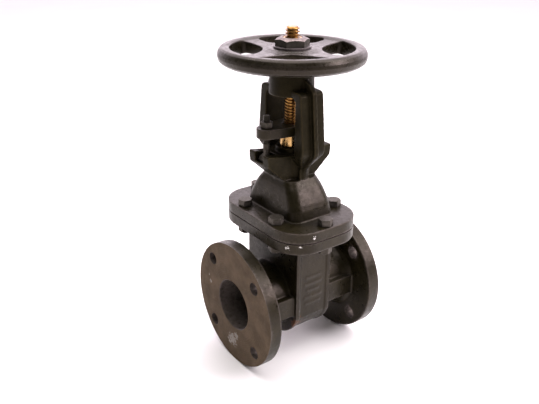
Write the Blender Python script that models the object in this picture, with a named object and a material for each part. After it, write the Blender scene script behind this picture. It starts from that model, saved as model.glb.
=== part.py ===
"""Flanged outside-screw-and-yoke gate valve, 3 inch class 125, in metres, +Z up.

The origin is where the pipe axis (X) crosses the stem axis (Z), with the gate shut.
The handwheel turns a bronze yoke sleeve, and the sleeve lifts the left-hand stem.
"""
import math

import bmesh
import bpy
from mathutils import Matrix, Vector

MM = 0.001
GAP = 0.3 * MM                    # between touching pieces
MERGE = 0.01 * MM
WELD = 0.002 * MM                 # joins the double points that a boolean can leave
TURN_STEPS = 44                   # around the largest turned pieces
POCKET_STEPS = 40                 # unlike the bore's, so their edges never coincide

# Pipe flanges
FACE_TO_FACE = 203.2 * MM
FLANGE_R = 95.25 * MM
FLANGE_THICK = 19.05 * MM
BOLT_CIRCLE_R = 76.2 * MM
FLANGE_HOLE_R = 9.525 * MM
BORE_R = 38.1 * MM
NECK_R = 50.0 * MM
EDGE = 1.2 * MM                   # chamfer on turned edges

# Body chamber and the bonnet joint
CHAMBER_HALF_X = 28.5 * MM
CHAMBER_HALF_Y = 60.0 * MM
CHAMBER_R = 63.5 * MM
CAVITY_HALF_X = 21.0 * MM
CAVITY_HALF_Y = 51.0 * MM
JOINT_HALF_X = 66.2 * MM
JOINT_HALF_Y = 94.0 * MM
JOINT_CORNER_R = 44.5 * MM
BODY_JOINT_LOW = 103.8 * MM
BODY_JOINT_HIGH = 119.2 * MM
GASKET_THICK = 1.2 * MM
BONNET_LOW = BODY_JOINT_HIGH + GASKET_THICK + 2 * GAP
BONNET_HIGH = 136.0 * MM

# Seats and wedge; s is the distance from the stem axis along a seat's own axis
SEAT_TILT = math.radians(5)
WEDGE_S = 12.0 * MM
WEDGE_RING_S = 13.0 * MM
WEDGE_RING_BACK_S = 9.0 * MM
SEAT_S = WEDGE_RING_S + GAP
SEAT_HEAD_BACK_S = 19.0 * MM
SEAT_BACK_S = 28.0 * MM
SEAT_HEAD_R = 46.0 * MM
SEAT_HUB_R = 43.7 * MM
WEDGE_R = 47.0 * MM

# Stem and its thread
STEM_R = 9.525 * MM
THREAD_PITCH = 25.4 / 6 * MM
THREAD_ROOT_R = STEM_R - THREAD_PITCH / 2 - 0.2 * MM
THREAD_LOW = 250.0 * MM
STEM_TOP = 393.0 * MM
STEM_HEAD_LOW = 50.3 * MM
STEM_HEAD_HIGH = 58.0 * MM
STEM_HEAD_R = 13.0 * MM
STEM_NECK_R = 8.0 * MM
BACKSEAT_R = 13.4 * MM
THREAD_STEPS = 12
THREAD_START = math.radians(7)

# Bonnet, stuffing box and yoke
DOME_TOP = 187.0 * MM
BOX_R = 28.0 * MM
BOX_FLOOR = 180.0 * MM
BOX_TOP = 222.0 * MM
BOX_COLLAR_R = 21.0 * MM
BOX_COLLAR_TOP = 230.0 * MM
BOX_BORE_R = 15.9 * MM
CEILING = 160.0 * MM
BUSH_R = 12.7 * MM
LEG_HALF_X = 19.5 * MM
LEG_INNER = 33.0 * MM
LEG_OUTER = 52.5 * MM             # at its foot; the outer face leans in to the shoulder
LEG_SHOULDER = 44.2 * MM
LEG_FOOT_Z = 227.0 * MM
LEG_ANKLE_HALF_X = 8.0 * MM       # the plate narrows to this between its foot and the dome
LEG_ANKLE_Z = 205.0 * MM
SHOULDER_Z = 312.8 * MM
RIB_HALF_X = 3.2 * MM
RIB_OUTER = 58.6 * MM
RIB_SHOULDER = 50.2 * MM
RIB_TOP = 328.5 * MM
BOSS_LOW = 304.0 * MM
BOSS_HIGH = 345.0 * MM
BOSS_R = 31.2 * MM
LUG_HALF_Y = 23.0 * MM
LUG_END = 55.0 * MM
LUG_TOP = 227.0 * MM              # at its outer end
LUG_SLOT_HALF = 9.5 * MM
GLAND_BOLT_X = 42.0 * MM
HINGE_Z = 215.0 * MM
HINGE_PIN_R = 4.0 * MM

# Packing and gland
PACKING_RINGS = 5
PACKING_PITCH = 6.4 * MM
FOLLOWER_R = BOX_BORE_R - GAP
FOLLOWER_TOP = 253.7 * MM
GLAND_LOW = 248.0 * MM
GLAND_HIGH = 262.0 * MM
GLAND_BOLT_R = 4.76 * MM
GLAND_BOLT_TOP = 279.0 * MM

# Yoke sleeve and handwheel
SLEEVE_R = 16.8 * MM
SLEEVE_HUB_R = 15.0 * MM
SLEEVE_END_R = 13.0 * MM
SLEEVE_TOP = 378.6 * MM
SLEEVE_THREAD_LOW = 336.0 * MM
COLLAR_R = 24.0 * MM
COUNTERBORE_TOP = 312.0 * MM
WASHER_THICK = 1.6 * MM
HUB_LOW = BOSS_HIGH + WASHER_THICK + 2 * GAP
HUB_HIGH = 365.0 * MM
HUB_R = 27.0 * MM
WHEEL_R = 100.3 * MM
RIM_INNER_R = 84.0 * MM
RIM_LOW = 345.6 * MM
RIM_HIGH = 367.4 * MM
SPOKE_TURN = math.radians(53.5)   # direction of the first opening in the wheel
WHEEL_WASHER_R = 25.5 * MM
WHEEL_NUT_LOW = 368.2 * MM
WHEEL_NUT_HIGH = 379.5 * MM

# Fasteners of the bonnet joint
BONNET_BOLT_R = 6.35 * MM
BONNET_BOLT_HEAD = 9.0 * MM
BONNET_BOLT_FLATS = 19.05 * MM
BONNET_BOLT_LOW = 91.0 * MM
BONNET_NUT_HIGH = BODY_JOINT_LOW - GAP
BONNET_NUT_LOW = BONNET_NUT_HIGH - 10.0 * MM
BONNET_BOLT_SPOTS = [
    (52.5 * MM, 38.0 * MM), (-52.5 * MM, 38.0 * MM),
    (52.5 * MM, -38.0 * MM), (-52.5 * MM, -38.0 * MM),
    (0.0, 81.5 * MM), (0.0, -81.5 * MM)]

AXIS_FRAMES = {
    "X": Matrix(((0, 0, 1), (1, 0, 0), (0, 1, 0))),
    "Y": Matrix(((1, 0, 0), (0, 0, 1), (0, 1, 0))),
    "Z": Matrix.Identity(3)}
LATHE_FRAMES = {
    "X": Matrix.Rotation(math.pi / 2, 3, "Y"),
    "Y": Matrix.Rotation(-math.pi / 2, 3, "X"),
    "Z": Matrix.Identity(3)}


def clear_scene():
    for obj in list(bpy.data.objects):
        bpy.data.objects.remove(obj)


def make_material(name, color, roughness, metallic):
    material = bpy.data.materials.new(name)
    material.use_nodes = True
    shader = material.node_tree.nodes["Principled BSDF"]
    shader.inputs["Base Color"].default_value = (*color, 1)
    shader.inputs["Roughness"].default_value = roughness
    shader.inputs["Metallic"].default_value = metallic
    return material


def finish_bmesh(name, bm, material=None):
    """Turn a bmesh into an object with outward faces and smooth round sides."""
    bmesh.ops.recalc_face_normals(bm, faces=bm.faces)
    if bm.calc_volume(signed=True) < 0:
        bmesh.ops.reverse_faces(bm, faces=bm.faces)
    mesh = bpy.data.meshes.new(name)
    bm.to_mesh(mesh)
    bm.free()
    if material:
        mesh.materials.append(material)
    obj = bpy.data.objects.new(name, mesh)
    bpy.context.scene.collection.objects.link(obj)
    shade_round(obj)
    return obj


def shade_round(obj):
    obj.data.shade_smooth()
    obj.data.set_sharp_from_angle(angle=math.radians(35))


def turned(name, profile, material=None, axis="Z", steps=24, ring=False, tilt=0.0):
    """Revolve (radius, height) points about an axis; ring=True closes the profile."""
    bm = bmesh.new()
    verts = [bm.verts.new((radius, 0, height)) for radius, height in profile]
    ends = verts[1:] + verts[:1] if ring else verts[1:]
    edges = [bm.edges.new(pair) for pair in zip(verts, ends)]
    bmesh.ops.spin(bm, geom=verts + edges, cent=(0, 0, 0), axis=(0, 0, 1),
                   angle=2 * math.pi, steps=steps, use_merge=True)
    bmesh.ops.remove_doubles(bm, verts=bm.verts, dist=MERGE)
    frame = Matrix.Rotation(tilt, 3, "Y") @ LATHE_FRAMES[axis]
    bm.transform(frame.to_4x4())
    return finish_bmesh(name, bm, material)


def ring(name, inner, outer, low, high, material=None, **kwargs):
    """A plain washer or tube."""
    profile = [(inner, low), (outer, low), (outer, high), (inner, high)]
    return turned(name, profile, material, ring=True, **kwargs)


def rod(name, radius, low, high, material=None, **kwargs):
    return turned(name, [(0, low), (radius, low), (radius, high), (0, high)], material, **kwargs)


def prism(name, outline, low, high, material=None, axis="Z"):
    """Extrude a closed outline: its points are (x, y), (y, z) or (x, z) for axis Z, X or Y."""
    bm = bmesh.new()
    base = bm.faces.new([bm.verts.new((a, b, low)) for a, b in outline])
    side = bmesh.ops.extrude_face_region(bm, geom=[base])
    moved = [item for item in side["geom"] if isinstance(item, bmesh.types.BMVert)]
    bmesh.ops.translate(bm, verts=moved, vec=(0, 0, high - low))
    bm.transform(AXIS_FRAMES[axis].to_4x4())
    return finish_bmesh(name, bm, material)


def box(name, low, high, material=None):
    outline = [(low[0], low[1]), (high[0], low[1]), (high[0], high[1]), (low[0], high[1])]
    return prism(name, outline, low[2], high[2], material)


def rounded(corners, steps=4):
    """Outline through (x, y, radius) corners, each turned by an arc of its radius."""
    points = []
    for index, (x, y, radius) in enumerate(corners):
        if radius == 0:
            points.append((x, y))
            continue
        before, after = corners[index - 1], corners[(index + 1) % len(corners)]
        to_before = unit(before[0] - x, before[1] - y)
        to_after = unit(after[0] - x, after[1] - y)
        half = math.acos(dot(to_before, to_after)) / 2
        middle = unit(to_before[0] + to_after[0], to_before[1] + to_after[1])
        reach = radius / math.sin(half)
        centre = (x + middle[0] * reach, y + middle[1] * reach)
        leg = radius / math.tan(half)
        start = math.atan2(y + to_before[1] * leg - centre[1], x + to_before[0] * leg - centre[0])
        end = math.atan2(y + to_after[1] * leg - centre[1], x + to_after[0] * leg - centre[0])
        sweep = (end - start + math.pi) % (2 * math.pi) - math.pi
        for step in range(steps + 1):
            angle = start + sweep * step / steps
            points.append((centre[0] + radius * math.cos(angle),
                           centre[1] + radius * math.sin(angle)))
    return points


def unit(x, y):
    length = math.hypot(x, y)
    return x / length, y / length


def dot(a, b):
    return a[0] * b[0] + a[1] * b[1]


def rounded_rectangle(half_x, half_y, radius, steps=5):
    return rounded([(half_x, half_y, radius), (-half_x, half_y, radius),
                    (-half_x, -half_y, radius), (half_x, -half_y, radius)], steps)


def hexagon(across_flats, centre=(0, 0)):
    corner = across_flats / math.sqrt(3)
    return [(centre[0] + corner * math.cos(math.radians(60 * i)),
             centre[1] + corner * math.sin(math.radians(60 * i))) for i in range(6)]


def loft(name, sections, material=None):
    """Bridge flat sections [(z, outline)] that all have the same number of points."""
    bm = bmesh.new()
    loops = [[bm.verts.new((x, y, z)) for x, y in outline] for z, outline in sections]
    for lower, upper in zip(loops, loops[1:]):
        for i in range(len(lower)):
            j = (i + 1) % len(lower)
            bm.faces.new((lower[i], lower[j], upper[j], upper[i]))
    bm.faces.new(loops[0])
    bm.faces.new(loops[-1])
    return finish_bmesh(name, bm, material)


def combine(target, tool, operation):
    """Apply one exact boolean to the target and remove the tool."""
    modifier = target.modifiers.new(operation, "BOOLEAN")
    modifier.operation = operation
    modifier.object = tool
    depsgraph = bpy.context.evaluated_depsgraph_get()
    mesh = bpy.data.meshes.new_from_object(target.evaluated_get(depsgraph))
    target.modifiers.remove(modifier)
    bpy.data.objects.remove(tool)
    bm = bmesh.new()
    bm.from_mesh(mesh)
    bmesh.ops.remove_doubles(bm, verts=bm.verts, dist=WELD)
    bmesh.ops.dissolve_degenerate(bm, edges=bm.edges, dist=WELD)
    bm.to_mesh(mesh)
    bm.free()
    target.data = mesh
    shade_round(target)


def add(target, tool):
    combine(target, tool, "UNION")


def cut(target, tool):
    combine(target, tool, "DIFFERENCE")


def place(obj, x, y, z=0.0):
    obj.data.transform(Matrix.Translation((x, y, z)))
    return obj


def joint_outline(inset=0.0):
    return rounded_rectangle(JOINT_HALF_X - inset, JOINT_HALF_Y - inset, JOINT_CORNER_R, 8)


def cut_joint_holes(target, low, high):
    for x, y in BONNET_BOLT_SPOTS:
        cut(target, place(rod("hole", BONNET_BOLT_R + 0.6 * MM, low, high, steps=12), x, y))


def chamber_outline(half_y, radius, top):
    """A U in the YZ plane: upright sides and a round bottom about the pipe axis."""
    side_angle = math.acos(half_y / radius)
    span = math.pi - 2 * side_angle
    bottom = [(radius * math.cos(-side_angle - span * i / 20),
               radius * math.sin(-side_angle - span * i / 20)) for i in range(21)]
    return [(half_y, top)] + bottom + [(-half_y, top)]


def build_body(material):
    half = [(NECK_R, 64 * MM), (NECK_R + 1.5 * MM, 74 * MM), (NECK_R + 7 * MM, 82.55 * MM),
            (FLANGE_R - EDGE, FACE_TO_FACE / 2 - FLANGE_THICK),
            (FLANGE_R, FACE_TO_FACE / 2 - FLANGE_THICK + EDGE),
            (FLANGE_R, FACE_TO_FACE / 2 - EDGE),
            (FLANGE_R - EDGE, FACE_TO_FACE / 2),
            (0, FACE_TO_FACE / 2)]
    mirrored = [(radius, -x) for radius, x in reversed(half)]
    body = turned("body", mirrored + half, material, axis="X", steps=TURN_STEPS)

    chamber = chamber_outline(CHAMBER_HALF_Y, CHAMBER_R, BODY_JOINT_LOW + MM)
    add(body, prism("chamber", chamber, -CHAMBER_HALF_X, CHAMBER_HALF_X, axis="X"))
    bead = chamber_outline(CHAMBER_HALF_Y + 1.5 * MM, CHAMBER_R + 1.5 * MM, BODY_JOINT_LOW + MM)
    for side in (-1, 1):
        ends = sorted((side * (CHAMBER_HALF_X - 4 * MM), side * (CHAMBER_HALF_X + 3 * MM)))
        add(body, prism("bead", bead, *ends, axis="X"))
    add(body, box("pads", (-80 * MM, -56.5 * MM, -16 * MM), (80 * MM, 56.5 * MM, 16 * MM)))
    add(body, prism("joint", joint_outline(), BODY_JOINT_LOW, BODY_JOINT_HIGH))

    cavity = chamber_outline(CAVITY_HALF_Y - 0.5 * MM, CAVITY_HALF_Y, BODY_JOINT_HIGH + MM)
    cut(body, prism("cavity", cavity, -CAVITY_HALF_X, CAVITY_HALF_X, axis="X"))
    cut(body, rod("bore", BORE_R, -FACE_TO_FACE, FACE_TO_FACE, axis="X", steps=TURN_STEPS))
    pocket = [(0, WEDGE_S), (SEAT_HEAD_R + GAP, WEDGE_S),
              (SEAT_HEAD_R + GAP, SEAT_HEAD_BACK_S + GAP),
              (SEAT_HUB_R + GAP, SEAT_HEAD_BACK_S + GAP), (SEAT_HUB_R + GAP, SEAT_BACK_S + GAP),
              (0, SEAT_BACK_S + GAP)]
    for tilt in (SEAT_TILT, math.pi - SEAT_TILT):
        cut(body, turned("seat_pocket", pocket, axis="X", tilt=tilt, steps=POCKET_STEPS))
    for side in (-1, 1):
        ends = sorted((side * 46.5 * MM, side * (CAVITY_HALF_Y + MM)))
        add(body, box("guide", (-4 * MM, ends[0], -25 * MM),
                      (4 * MM, ends[1], BODY_JOINT_HIGH - MM)))

    for side in (-1, 1):
        ends = sorted((side * (FACE_TO_FACE / 2 - FLANGE_THICK - 4 * MM),
                       side * (FACE_TO_FACE / 2 + MM)))
        for quarter in range(4):
            angle = math.radians(45 + 90 * quarter)
            hole = rod("hole", FLANGE_HOLE_R, *ends, axis="X", steps=14)
            cut(body, place(hole, 0, BOLT_CIRCLE_R * math.cos(angle),
                            BOLT_CIRCLE_R * math.sin(angle)))
    cut_joint_holes(body, BODY_JOINT_LOW - MM, BODY_JOINT_HIGH + MM)
    return body


def build_seat_ring(name, side, material):
    profile = [(BORE_R, SEAT_S), (SEAT_HEAD_R, SEAT_S), (SEAT_HEAD_R, SEAT_HEAD_BACK_S),
               (SEAT_HUB_R, SEAT_HEAD_BACK_S), (SEAT_HUB_R, SEAT_BACK_S), (BORE_R, SEAT_BACK_S)]
    tilt = SEAT_TILT if side > 0 else math.pi - SEAT_TILT
    return turned(name, profile, material, axis="X", steps=32, ring=True, tilt=tilt)


def build_wedge(material):
    """A solid wedge whose two faces lean with the seats, under a slotted boss."""
    disc = [(WEDGE_R * math.cos(2 * math.pi * i / 36), WEDGE_R * math.sin(2 * math.pi * i / 36))
            for i in range(36)]
    wedge = prism("gate_wedge", disc, -1, 1, material, axis="X")
    middle = WEDGE_S / math.cos(SEAT_TILT)
    for vertex in wedge.data.vertices:
        half = middle + vertex.co.z * math.tan(SEAT_TILT)
        vertex.co.x = math.copysign(half, vertex.co.x)
    add(wedge, box("boss", (-15 * MM, -20 * MM, 35 * MM), (15 * MM, 20 * MM, 66.5 * MM)))
    add(wedge, box("ears", (-8 * MM, -50 * MM, -5 * MM), (8 * MM, 50 * MM, 38 * MM)))
    for side in (-1, 1):
        ends = sorted((side * 46.1 * MM, side * 55 * MM))
        cut(wedge, box("groove", (-4.5 * MM, ends[0], -60 * MM), (4.5 * MM, ends[1], 60 * MM)))
    cut(wedge, box("head_slot", (-20 * MM, -STEM_HEAD_R - GAP, STEM_HEAD_LOW - GAP),
                   (20 * MM, STEM_HEAD_R + GAP, STEM_HEAD_HIGH + GAP)))
    cut(wedge, box("neck_slot", (-20 * MM, -STEM_NECK_R - GAP, STEM_HEAD_HIGH - MM),
                   (20 * MM, STEM_NECK_R + GAP, 70 * MM)))
    for tilt in (SEAT_TILT, math.pi - SEAT_TILT):
        cut(wedge, ring("recess", BORE_R + 0.4 * MM - GAP, 45 * MM + GAP, WEDGE_RING_BACK_S - GAP,
                        20 * MM, axis="X", tilt=tilt, steps=32))
    return wedge


def build_wedge_ring(name, side, material):
    tilt = SEAT_TILT if side > 0 else math.pi - SEAT_TILT
    return ring(name, BORE_R + 0.4 * MM, 45 * MM, WEDGE_RING_BACK_S, WEDGE_RING_S, material,
                axis="X", tilt=tilt, steps=32)


def threaded_rod(name, low, high, root, crest, steps):
    """A rod with a left-hand ACME thread and a plain root-size end at top and bottom."""
    section = [(root, 0.0), (crest, 0.155), (crest, 0.50), (root, 0.655)]
    count = int((high - low) / THREAD_PITCH - 1) * steps
    bm = bmesh.new()

    def point(step, radius, offset):
        angle = THREAD_START - 2 * math.pi * step / steps
        z = low + THREAD_PITCH * (step / steps + offset)
        return bm.verts.new((radius * math.cos(angle), radius * math.sin(angle), z))

    columns = [[point(step, radius, offset) for radius, offset in section]
               for step in range(count + 1)]
    for step, column in enumerate(columns):
        turn_later = step + steps
        column.append(columns[turn_later][0] if turn_later <= count else point(step, root, 1.0))
    for first, second in zip(columns, columns[1:]):
        for i in range(4):
            bm.faces.new((first[i], first[i + 1], second[i + 1], second[i]))

    def close_end(edge, z, first_side=(), last_side=()):
        """Join the thread's stepped edge to a flat ring; the sides hold its seam points."""
        flat = [bm.verts.new((vertex.co.x, vertex.co.y, z)) for vertex in edge[:-1]]
        for i in range(steps):
            face = [edge[i], edge[i + 1]]
            face += last_side if i == steps - 1 else []
            face += [flat[(i + 1) % steps], flat[i]]
            face += first_side if i == 0 else []
            bm.faces.new(face)
        bm.faces.new(flat)

    first, last = columns[0], columns[-1]
    close_end([column[0] for column in columns[:steps + 1]], low - THREAD_PITCH / 2,
              last_side=[first[3], first[0]])
    close_end([column[4] for column in columns[-steps - 1:]], high + THREAD_PITCH / 2,
              first_side=[last[4], last[3]])
    bm.faces.new(first[:4])
    bm.faces.new(last[:4])
    return finish_bmesh(name, bm)


def build_stem(material):
    profile = [(0, STEM_HEAD_LOW), (STEM_HEAD_R, STEM_HEAD_LOW), (STEM_HEAD_R, STEM_HEAD_HIGH),
               (STEM_NECK_R, STEM_HEAD_HIGH), (STEM_NECK_R, 69 * MM), (BACKSEAT_R, 69 * MM),
               (BACKSEAT_R, 76 * MM), (12 * MM, 76 * MM), (STEM_R, 79 * MM),
               (STEM_R, THREAD_LOW), (0, THREAD_LOW)]
    stem = turned("stem", profile, material)
    add(stem, threaded_rod("thread", THREAD_LOW + MM, STEM_TOP - THREAD_PITCH / 2,
                           THREAD_ROOT_R, STEM_R, THREAD_STEPS))
    return stem


def dome_section(z, half_x, half_y, corner):
    return z, rounded_rectangle(half_x, half_y, corner)


def build_leg(side):
    """One yoke leg: a broad plate, narrowed at its foot, with a rib down its outer face."""
    inner, outer = side * LEG_INNER, side * LEG_OUTER
    root = side * 20 * MM
    plate = [(root, 184 * MM, 0), (inner, 184 * MM, 0), (side * 33.5 * MM, 203 * MM, 14 * MM),
             (outer, LEG_FOOT_Z + 2 * MM, 20 * MM), (side * LEG_SHOULDER, SHOULDER_Z, 7 * MM),
             (side * 30 * MM, SHOULDER_Z + MM, 0), (root, SHOULDER_Z + MM, 0),
             (root, BOSS_LOW + 2.4 * MM, 0), (inner, BOSS_LOW + 2.4 * MM, 9 * MM),
             (inner, BOX_TOP - 3 * MM, 0), (root, BOX_TOP - 3 * MM, 0)]
    leg = prism("leg", rounded(plate), -LEG_HALF_X, LEG_HALF_X, axis="X")
    for end in (-1, 1):
        ankle, far = end * LEG_ANKLE_HALF_X, end * (LEG_HALF_X + MM)
        wedge = [(ankle, 180 * MM), (ankle, LEG_ANKLE_Z), (far, LEG_FOOT_Z), (far, 180 * MM)]
        cut(leg, prism("wedge", wedge, *sorted((side * 15 * MM, side * 70 * MM)), axis="Y"))
    rib = [(root, 185 * MM, 0), (side * 34 * MM, 185 * MM, 0),
           (side * 34.5 * MM, 201 * MM, 14 * MM), (side * RIB_OUTER, LEG_FOOT_Z, 12 * MM),
           (side * RIB_SHOULDER, SHOULDER_Z, 6 * MM), (side * 43 * MM, 322.5 * MM, 9 * MM),
           (side * 30.6 * MM, RIB_TOP, 0), (root, RIB_TOP, 0), (root, 309.5 * MM, 0),
           (side * 37 * MM, 309.5 * MM, 0), (side * 37 * MM, 215 * MM, 0), (root, 215 * MM, 0)]
    add(leg, prism("rib", rounded(rib), -RIB_HALF_X, RIB_HALF_X, axis="X"))
    return leg


def build_lug(side):
    """A gland lug: a forked bracket whose underside slopes down to the dome."""
    outline = [(side * 15 * MM, 186 * MM, 0), (side * 26 * MM, 186 * MM, 0),
               (side * (LUG_END - MM), 211 * MM, 3 * MM), (side * LUG_END, LUG_TOP, 2 * MM),
               (side * 15 * MM, LUG_TOP - 6 * MM, 0)]
    lug = prism("lug", rounded(outline, 2), -LUG_HALF_Y, LUG_HALF_Y, axis="Y")
    slot = [(side * 31.5 * MM, 240 * MM), (side * 31.5 * MM, 201 * MM),
            (side * 38 * MM, 201 * MM), (side * 70 * MM, 228.5 * MM), (side * 70 * MM, 240 * MM)]
    cut(lug, prism("slot", slot, -LUG_SLOT_HALF, LUG_SLOT_HALF, axis="Y"))
    hole = rod("pin_hole", HINGE_PIN_R + GAP, -16 * MM, 30 * MM, axis="Y", steps=12)
    cut(lug, place(hole, side * GLAND_BOLT_X, 0, HINGE_Z))
    return lug


def build_bonnet(material):
    bonnet = prism("bonnet", joint_outline(), BONNET_LOW, BONNET_HIGH, material)
    dome = [dome_section(130 * MM, 37.8 * MM, 61 * MM, 16 * MM),
            dome_section(137.5 * MM, 37.3 * MM, 60 * MM, 16 * MM),
            dome_section(150 * MM, 35.5 * MM, 57 * MM, 16 * MM),
            dome_section(165 * MM, 33 * MM, 50 * MM, 15 * MM),
            dome_section(177 * MM, 30.3 * MM, 42.5 * MM, 14.5 * MM),
            dome_section(DOME_TOP, 27 * MM, 34 * MM, 14 * MM)]
    add(bonnet, loft("dome", dome))
    add(bonnet, rod("box", BOX_R, 178 * MM, BOX_TOP, steps=32))
    add(bonnet, rod("box_collar", BOX_COLLAR_R, BOX_TOP - MM, BOX_COLLAR_TOP, steps=24))
    for side in (-1, 1):
        add(bonnet, build_leg(side))
        add(bonnet, build_lug(side))
    boss = [(0, BOSS_LOW), (BOSS_R - EDGE, BOSS_LOW), (BOSS_R, BOSS_LOW + EDGE),
            (BOSS_R - 1.2 * MM, BOSS_HIGH), (0, BOSS_HIGH)]
    add(bonnet, turned("boss", boss, steps=32))

    cavity = [dome_section(110 * MM, CAVITY_HALF_X, 51 * MM, 14 * MM),
              dome_section(132 * MM, 20.5 * MM, 50.5 * MM, 14 * MM),
              dome_section(148 * MM, 20 * MM, 42 * MM, 14 * MM),
              dome_section(CEILING, 18.5 * MM, 30 * MM, 14 * MM)]
    cut(bonnet, loft("cavity", cavity))
    cut(bonnet, rod("bush_bore", BUSH_R + GAP, CEILING - MM, BOX_FLOOR + MM))
    cut(bonnet, rod("box_bore", BOX_BORE_R, BOX_FLOOR, 240 * MM))
    cut(bonnet, rod("sleeve_bore", SLEEVE_R + GAP, 300 * MM, 350 * MM))
    cut(bonnet, rod("counterbore", COLLAR_R + GAP, 300 * MM, COUNTERBORE_TOP, steps=28))
    cut_joint_holes(bonnet, BONNET_LOW - MM, BONNET_HIGH + MM)
    return bonnet


def build_gasket(material):
    low = BODY_JOINT_HIGH + GAP
    gasket = prism("bonnet_gasket", joint_outline(1.2 * MM), low, low + GASKET_THICK, material)
    opening = rounded_rectangle(CAVITY_HALF_X + MM, CAVITY_HALF_Y + MM, 14 * MM)
    cut(gasket, prism("opening", opening, low - MM, low + 2 * MM))
    cut_joint_holes(gasket, low - MM, low + 2 * MM)
    return gasket


def build_backseat_bushing(material):
    profile = [(BUSH_R, 156.7 * MM), (BUSH_R + 3.3 * MM, 156.7 * MM),
               (BUSH_R + 3.3 * MM, CEILING - GAP), (BUSH_R, CEILING - GAP),
               (BUSH_R, BOX_FLOOR - GAP), (STEM_R + GAP, BOX_FLOOR - GAP),
               (STEM_R + GAP, 160.2 * MM)]
    return turned("backseat_bushing", profile, material, ring=True)


def build_packing(material):
    for index in range(PACKING_RINGS):
        low = BOX_FLOOR + GAP + index * PACKING_PITCH
        ring(f"packing_ring_{index + 1}", STEM_R + GAP, BOX_BORE_R - GAP, low,
             low + PACKING_PITCH - GAP, material, steps=20)


def build_gland(bronze, iron):
    low = BOX_FLOOR + 2 * GAP + PACKING_RINGS * PACKING_PITCH
    ring("gland_follower", STEM_R + GAP, FOLLOWER_R, low, FOLLOWER_TOP, bronze)
    ear = 14 * MM
    centre = 22 * MM
    lean = math.acos((centre - ear) / GLAND_BOLT_X)
    outline = []
    arcs = ((GLAND_BOLT_X, ear, -lean, lean), (0, centre, lean, math.pi - lean),
            (-GLAND_BOLT_X, ear, math.pi - lean, math.pi + lean),
            (0, centre, math.pi + lean, 2 * math.pi - lean))
    for spot, radius, start, end in arcs:
        for step in range(7):
            angle = start + (end - start) * step / 6
            outline.append((spot + radius * math.cos(angle), radius * math.sin(angle)))
    gland = prism("gland_flange", outline, GLAND_LOW, GLAND_HIGH, iron)
    cut(gland, rod("stem_way", STEM_R + 0.9 * MM, 240 * MM, 270 * MM, steps=20))
    cut(gland, rod("follower_seat", FOLLOWER_R + GAP, 240 * MM, FOLLOWER_TOP + GAP))
    for side in (-1, 1):
        hole = rod("hole", GLAND_BOLT_R + 0.8 * MM, 240 * MM, 270 * MM, steps=12)
        cut(gland, place(hole, side * GLAND_BOLT_X, 0))


def build_gland_fasteners(side, label, material):
    """An eye bolt on its hinge pin, and the nut that presses the gland down."""
    eye_r = 7.5 * MM
    bolt = rod(f"gland_eye_bolt_{label}", eye_r, -8.8 * MM, 8.8 * MM, material, axis="Y", steps=16)
    shank = [(0, 5 * MM), (GLAND_BOLT_R, 5 * MM), (GLAND_BOLT_R, GLAND_BOLT_TOP - HINGE_Z - MM),
             (GLAND_BOLT_R - MM, GLAND_BOLT_TOP - HINGE_Z), (0, GLAND_BOLT_TOP - HINGE_Z)]
    add(bolt, turned("shank", shank, steps=12))
    cut(bolt, rod("eye", HINGE_PIN_R + GAP, -20 * MM, 20 * MM, axis="Y", steps=12))
    place(bolt, side * GLAND_BOLT_X, 0, HINGE_Z)
    pin = rod(f"gland_hinge_pin_{label}", HINGE_PIN_R, -15.7 * MM, LUG_HALF_Y - GAP, material,
              axis="Y", steps=12)
    place(pin, side * GLAND_BOLT_X, 0, HINGE_Z)
    nut = hex_nut(f"gland_nut_{label}", 15.9 * MM, GLAND_BOLT_R + GAP, GLAND_HIGH + GAP,
                  GLAND_HIGH + 8.5 * MM, material)
    place(nut, side * GLAND_BOLT_X, 0)


def hex_nut(name, across_flats, bore_r, low, high, material):
    """A nut whose twelve-sided bore clears a round thread of radius bore_r."""
    nut = prism(name, hexagon(across_flats), low, high, material)
    cut(nut, rod("bore", bore_r / math.cos(math.pi / 12), low - MM, high + MM, steps=12))
    return nut


def build_bonnet_fasteners(material):
    for index, (x, y) in enumerate(BONNET_BOLT_SPOTS, 1):
        low = BONNET_HIGH + GAP
        high = low + BONNET_BOLT_HEAD
        bolt = prism(f"bonnet_bolt_{index}", hexagon(BONNET_BOLT_FLATS), low, high, material)
        add(bolt, rod("shank", BONNET_BOLT_R, BONNET_BOLT_LOW, low + MM, steps=12))
        place(bolt, x, y)
        nut = hex_nut(f"bonnet_nut_{index}", BONNET_BOLT_FLATS, BONNET_BOLT_R + GAP,
                      BONNET_NUT_LOW, BONNET_NUT_HIGH, material)
        place(nut, x, y)


def build_sleeve(material):
    """The bronze yoke sleeve: collar, plain bearing, keyed hub and threaded top."""
    relief = STEM_R + 0.8 * MM
    profile = [(relief, BOSS_LOW + GAP), (COLLAR_R, BOSS_LOW + GAP), (COLLAR_R, 310 * MM),
               (SLEEVE_R, 310 * MM), (SLEEVE_R, HUB_LOW - GAP), (SLEEVE_HUB_R, HUB_LOW - GAP),
               (SLEEVE_HUB_R, HUB_HIGH), (SLEEVE_END_R, HUB_HIGH),
               (SLEEVE_END_R, SLEEVE_TOP), (STEM_R + 0.4 * MM, SLEEVE_TOP),
               (STEM_R + 0.4 * MM, SLEEVE_THREAD_LOW), (relief, SLEEVE_THREAD_LOW)]
    sleeve = turned("yoke_sleeve", profile, material, ring=True)
    cut(sleeve, box("keyway", (12.4 * MM, -2.5 * MM - GAP, HUB_LOW + MM),
                    (20 * MM, 2.5 * MM + GAP, HUB_HIGH + MM)))
    return sleeve


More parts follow.
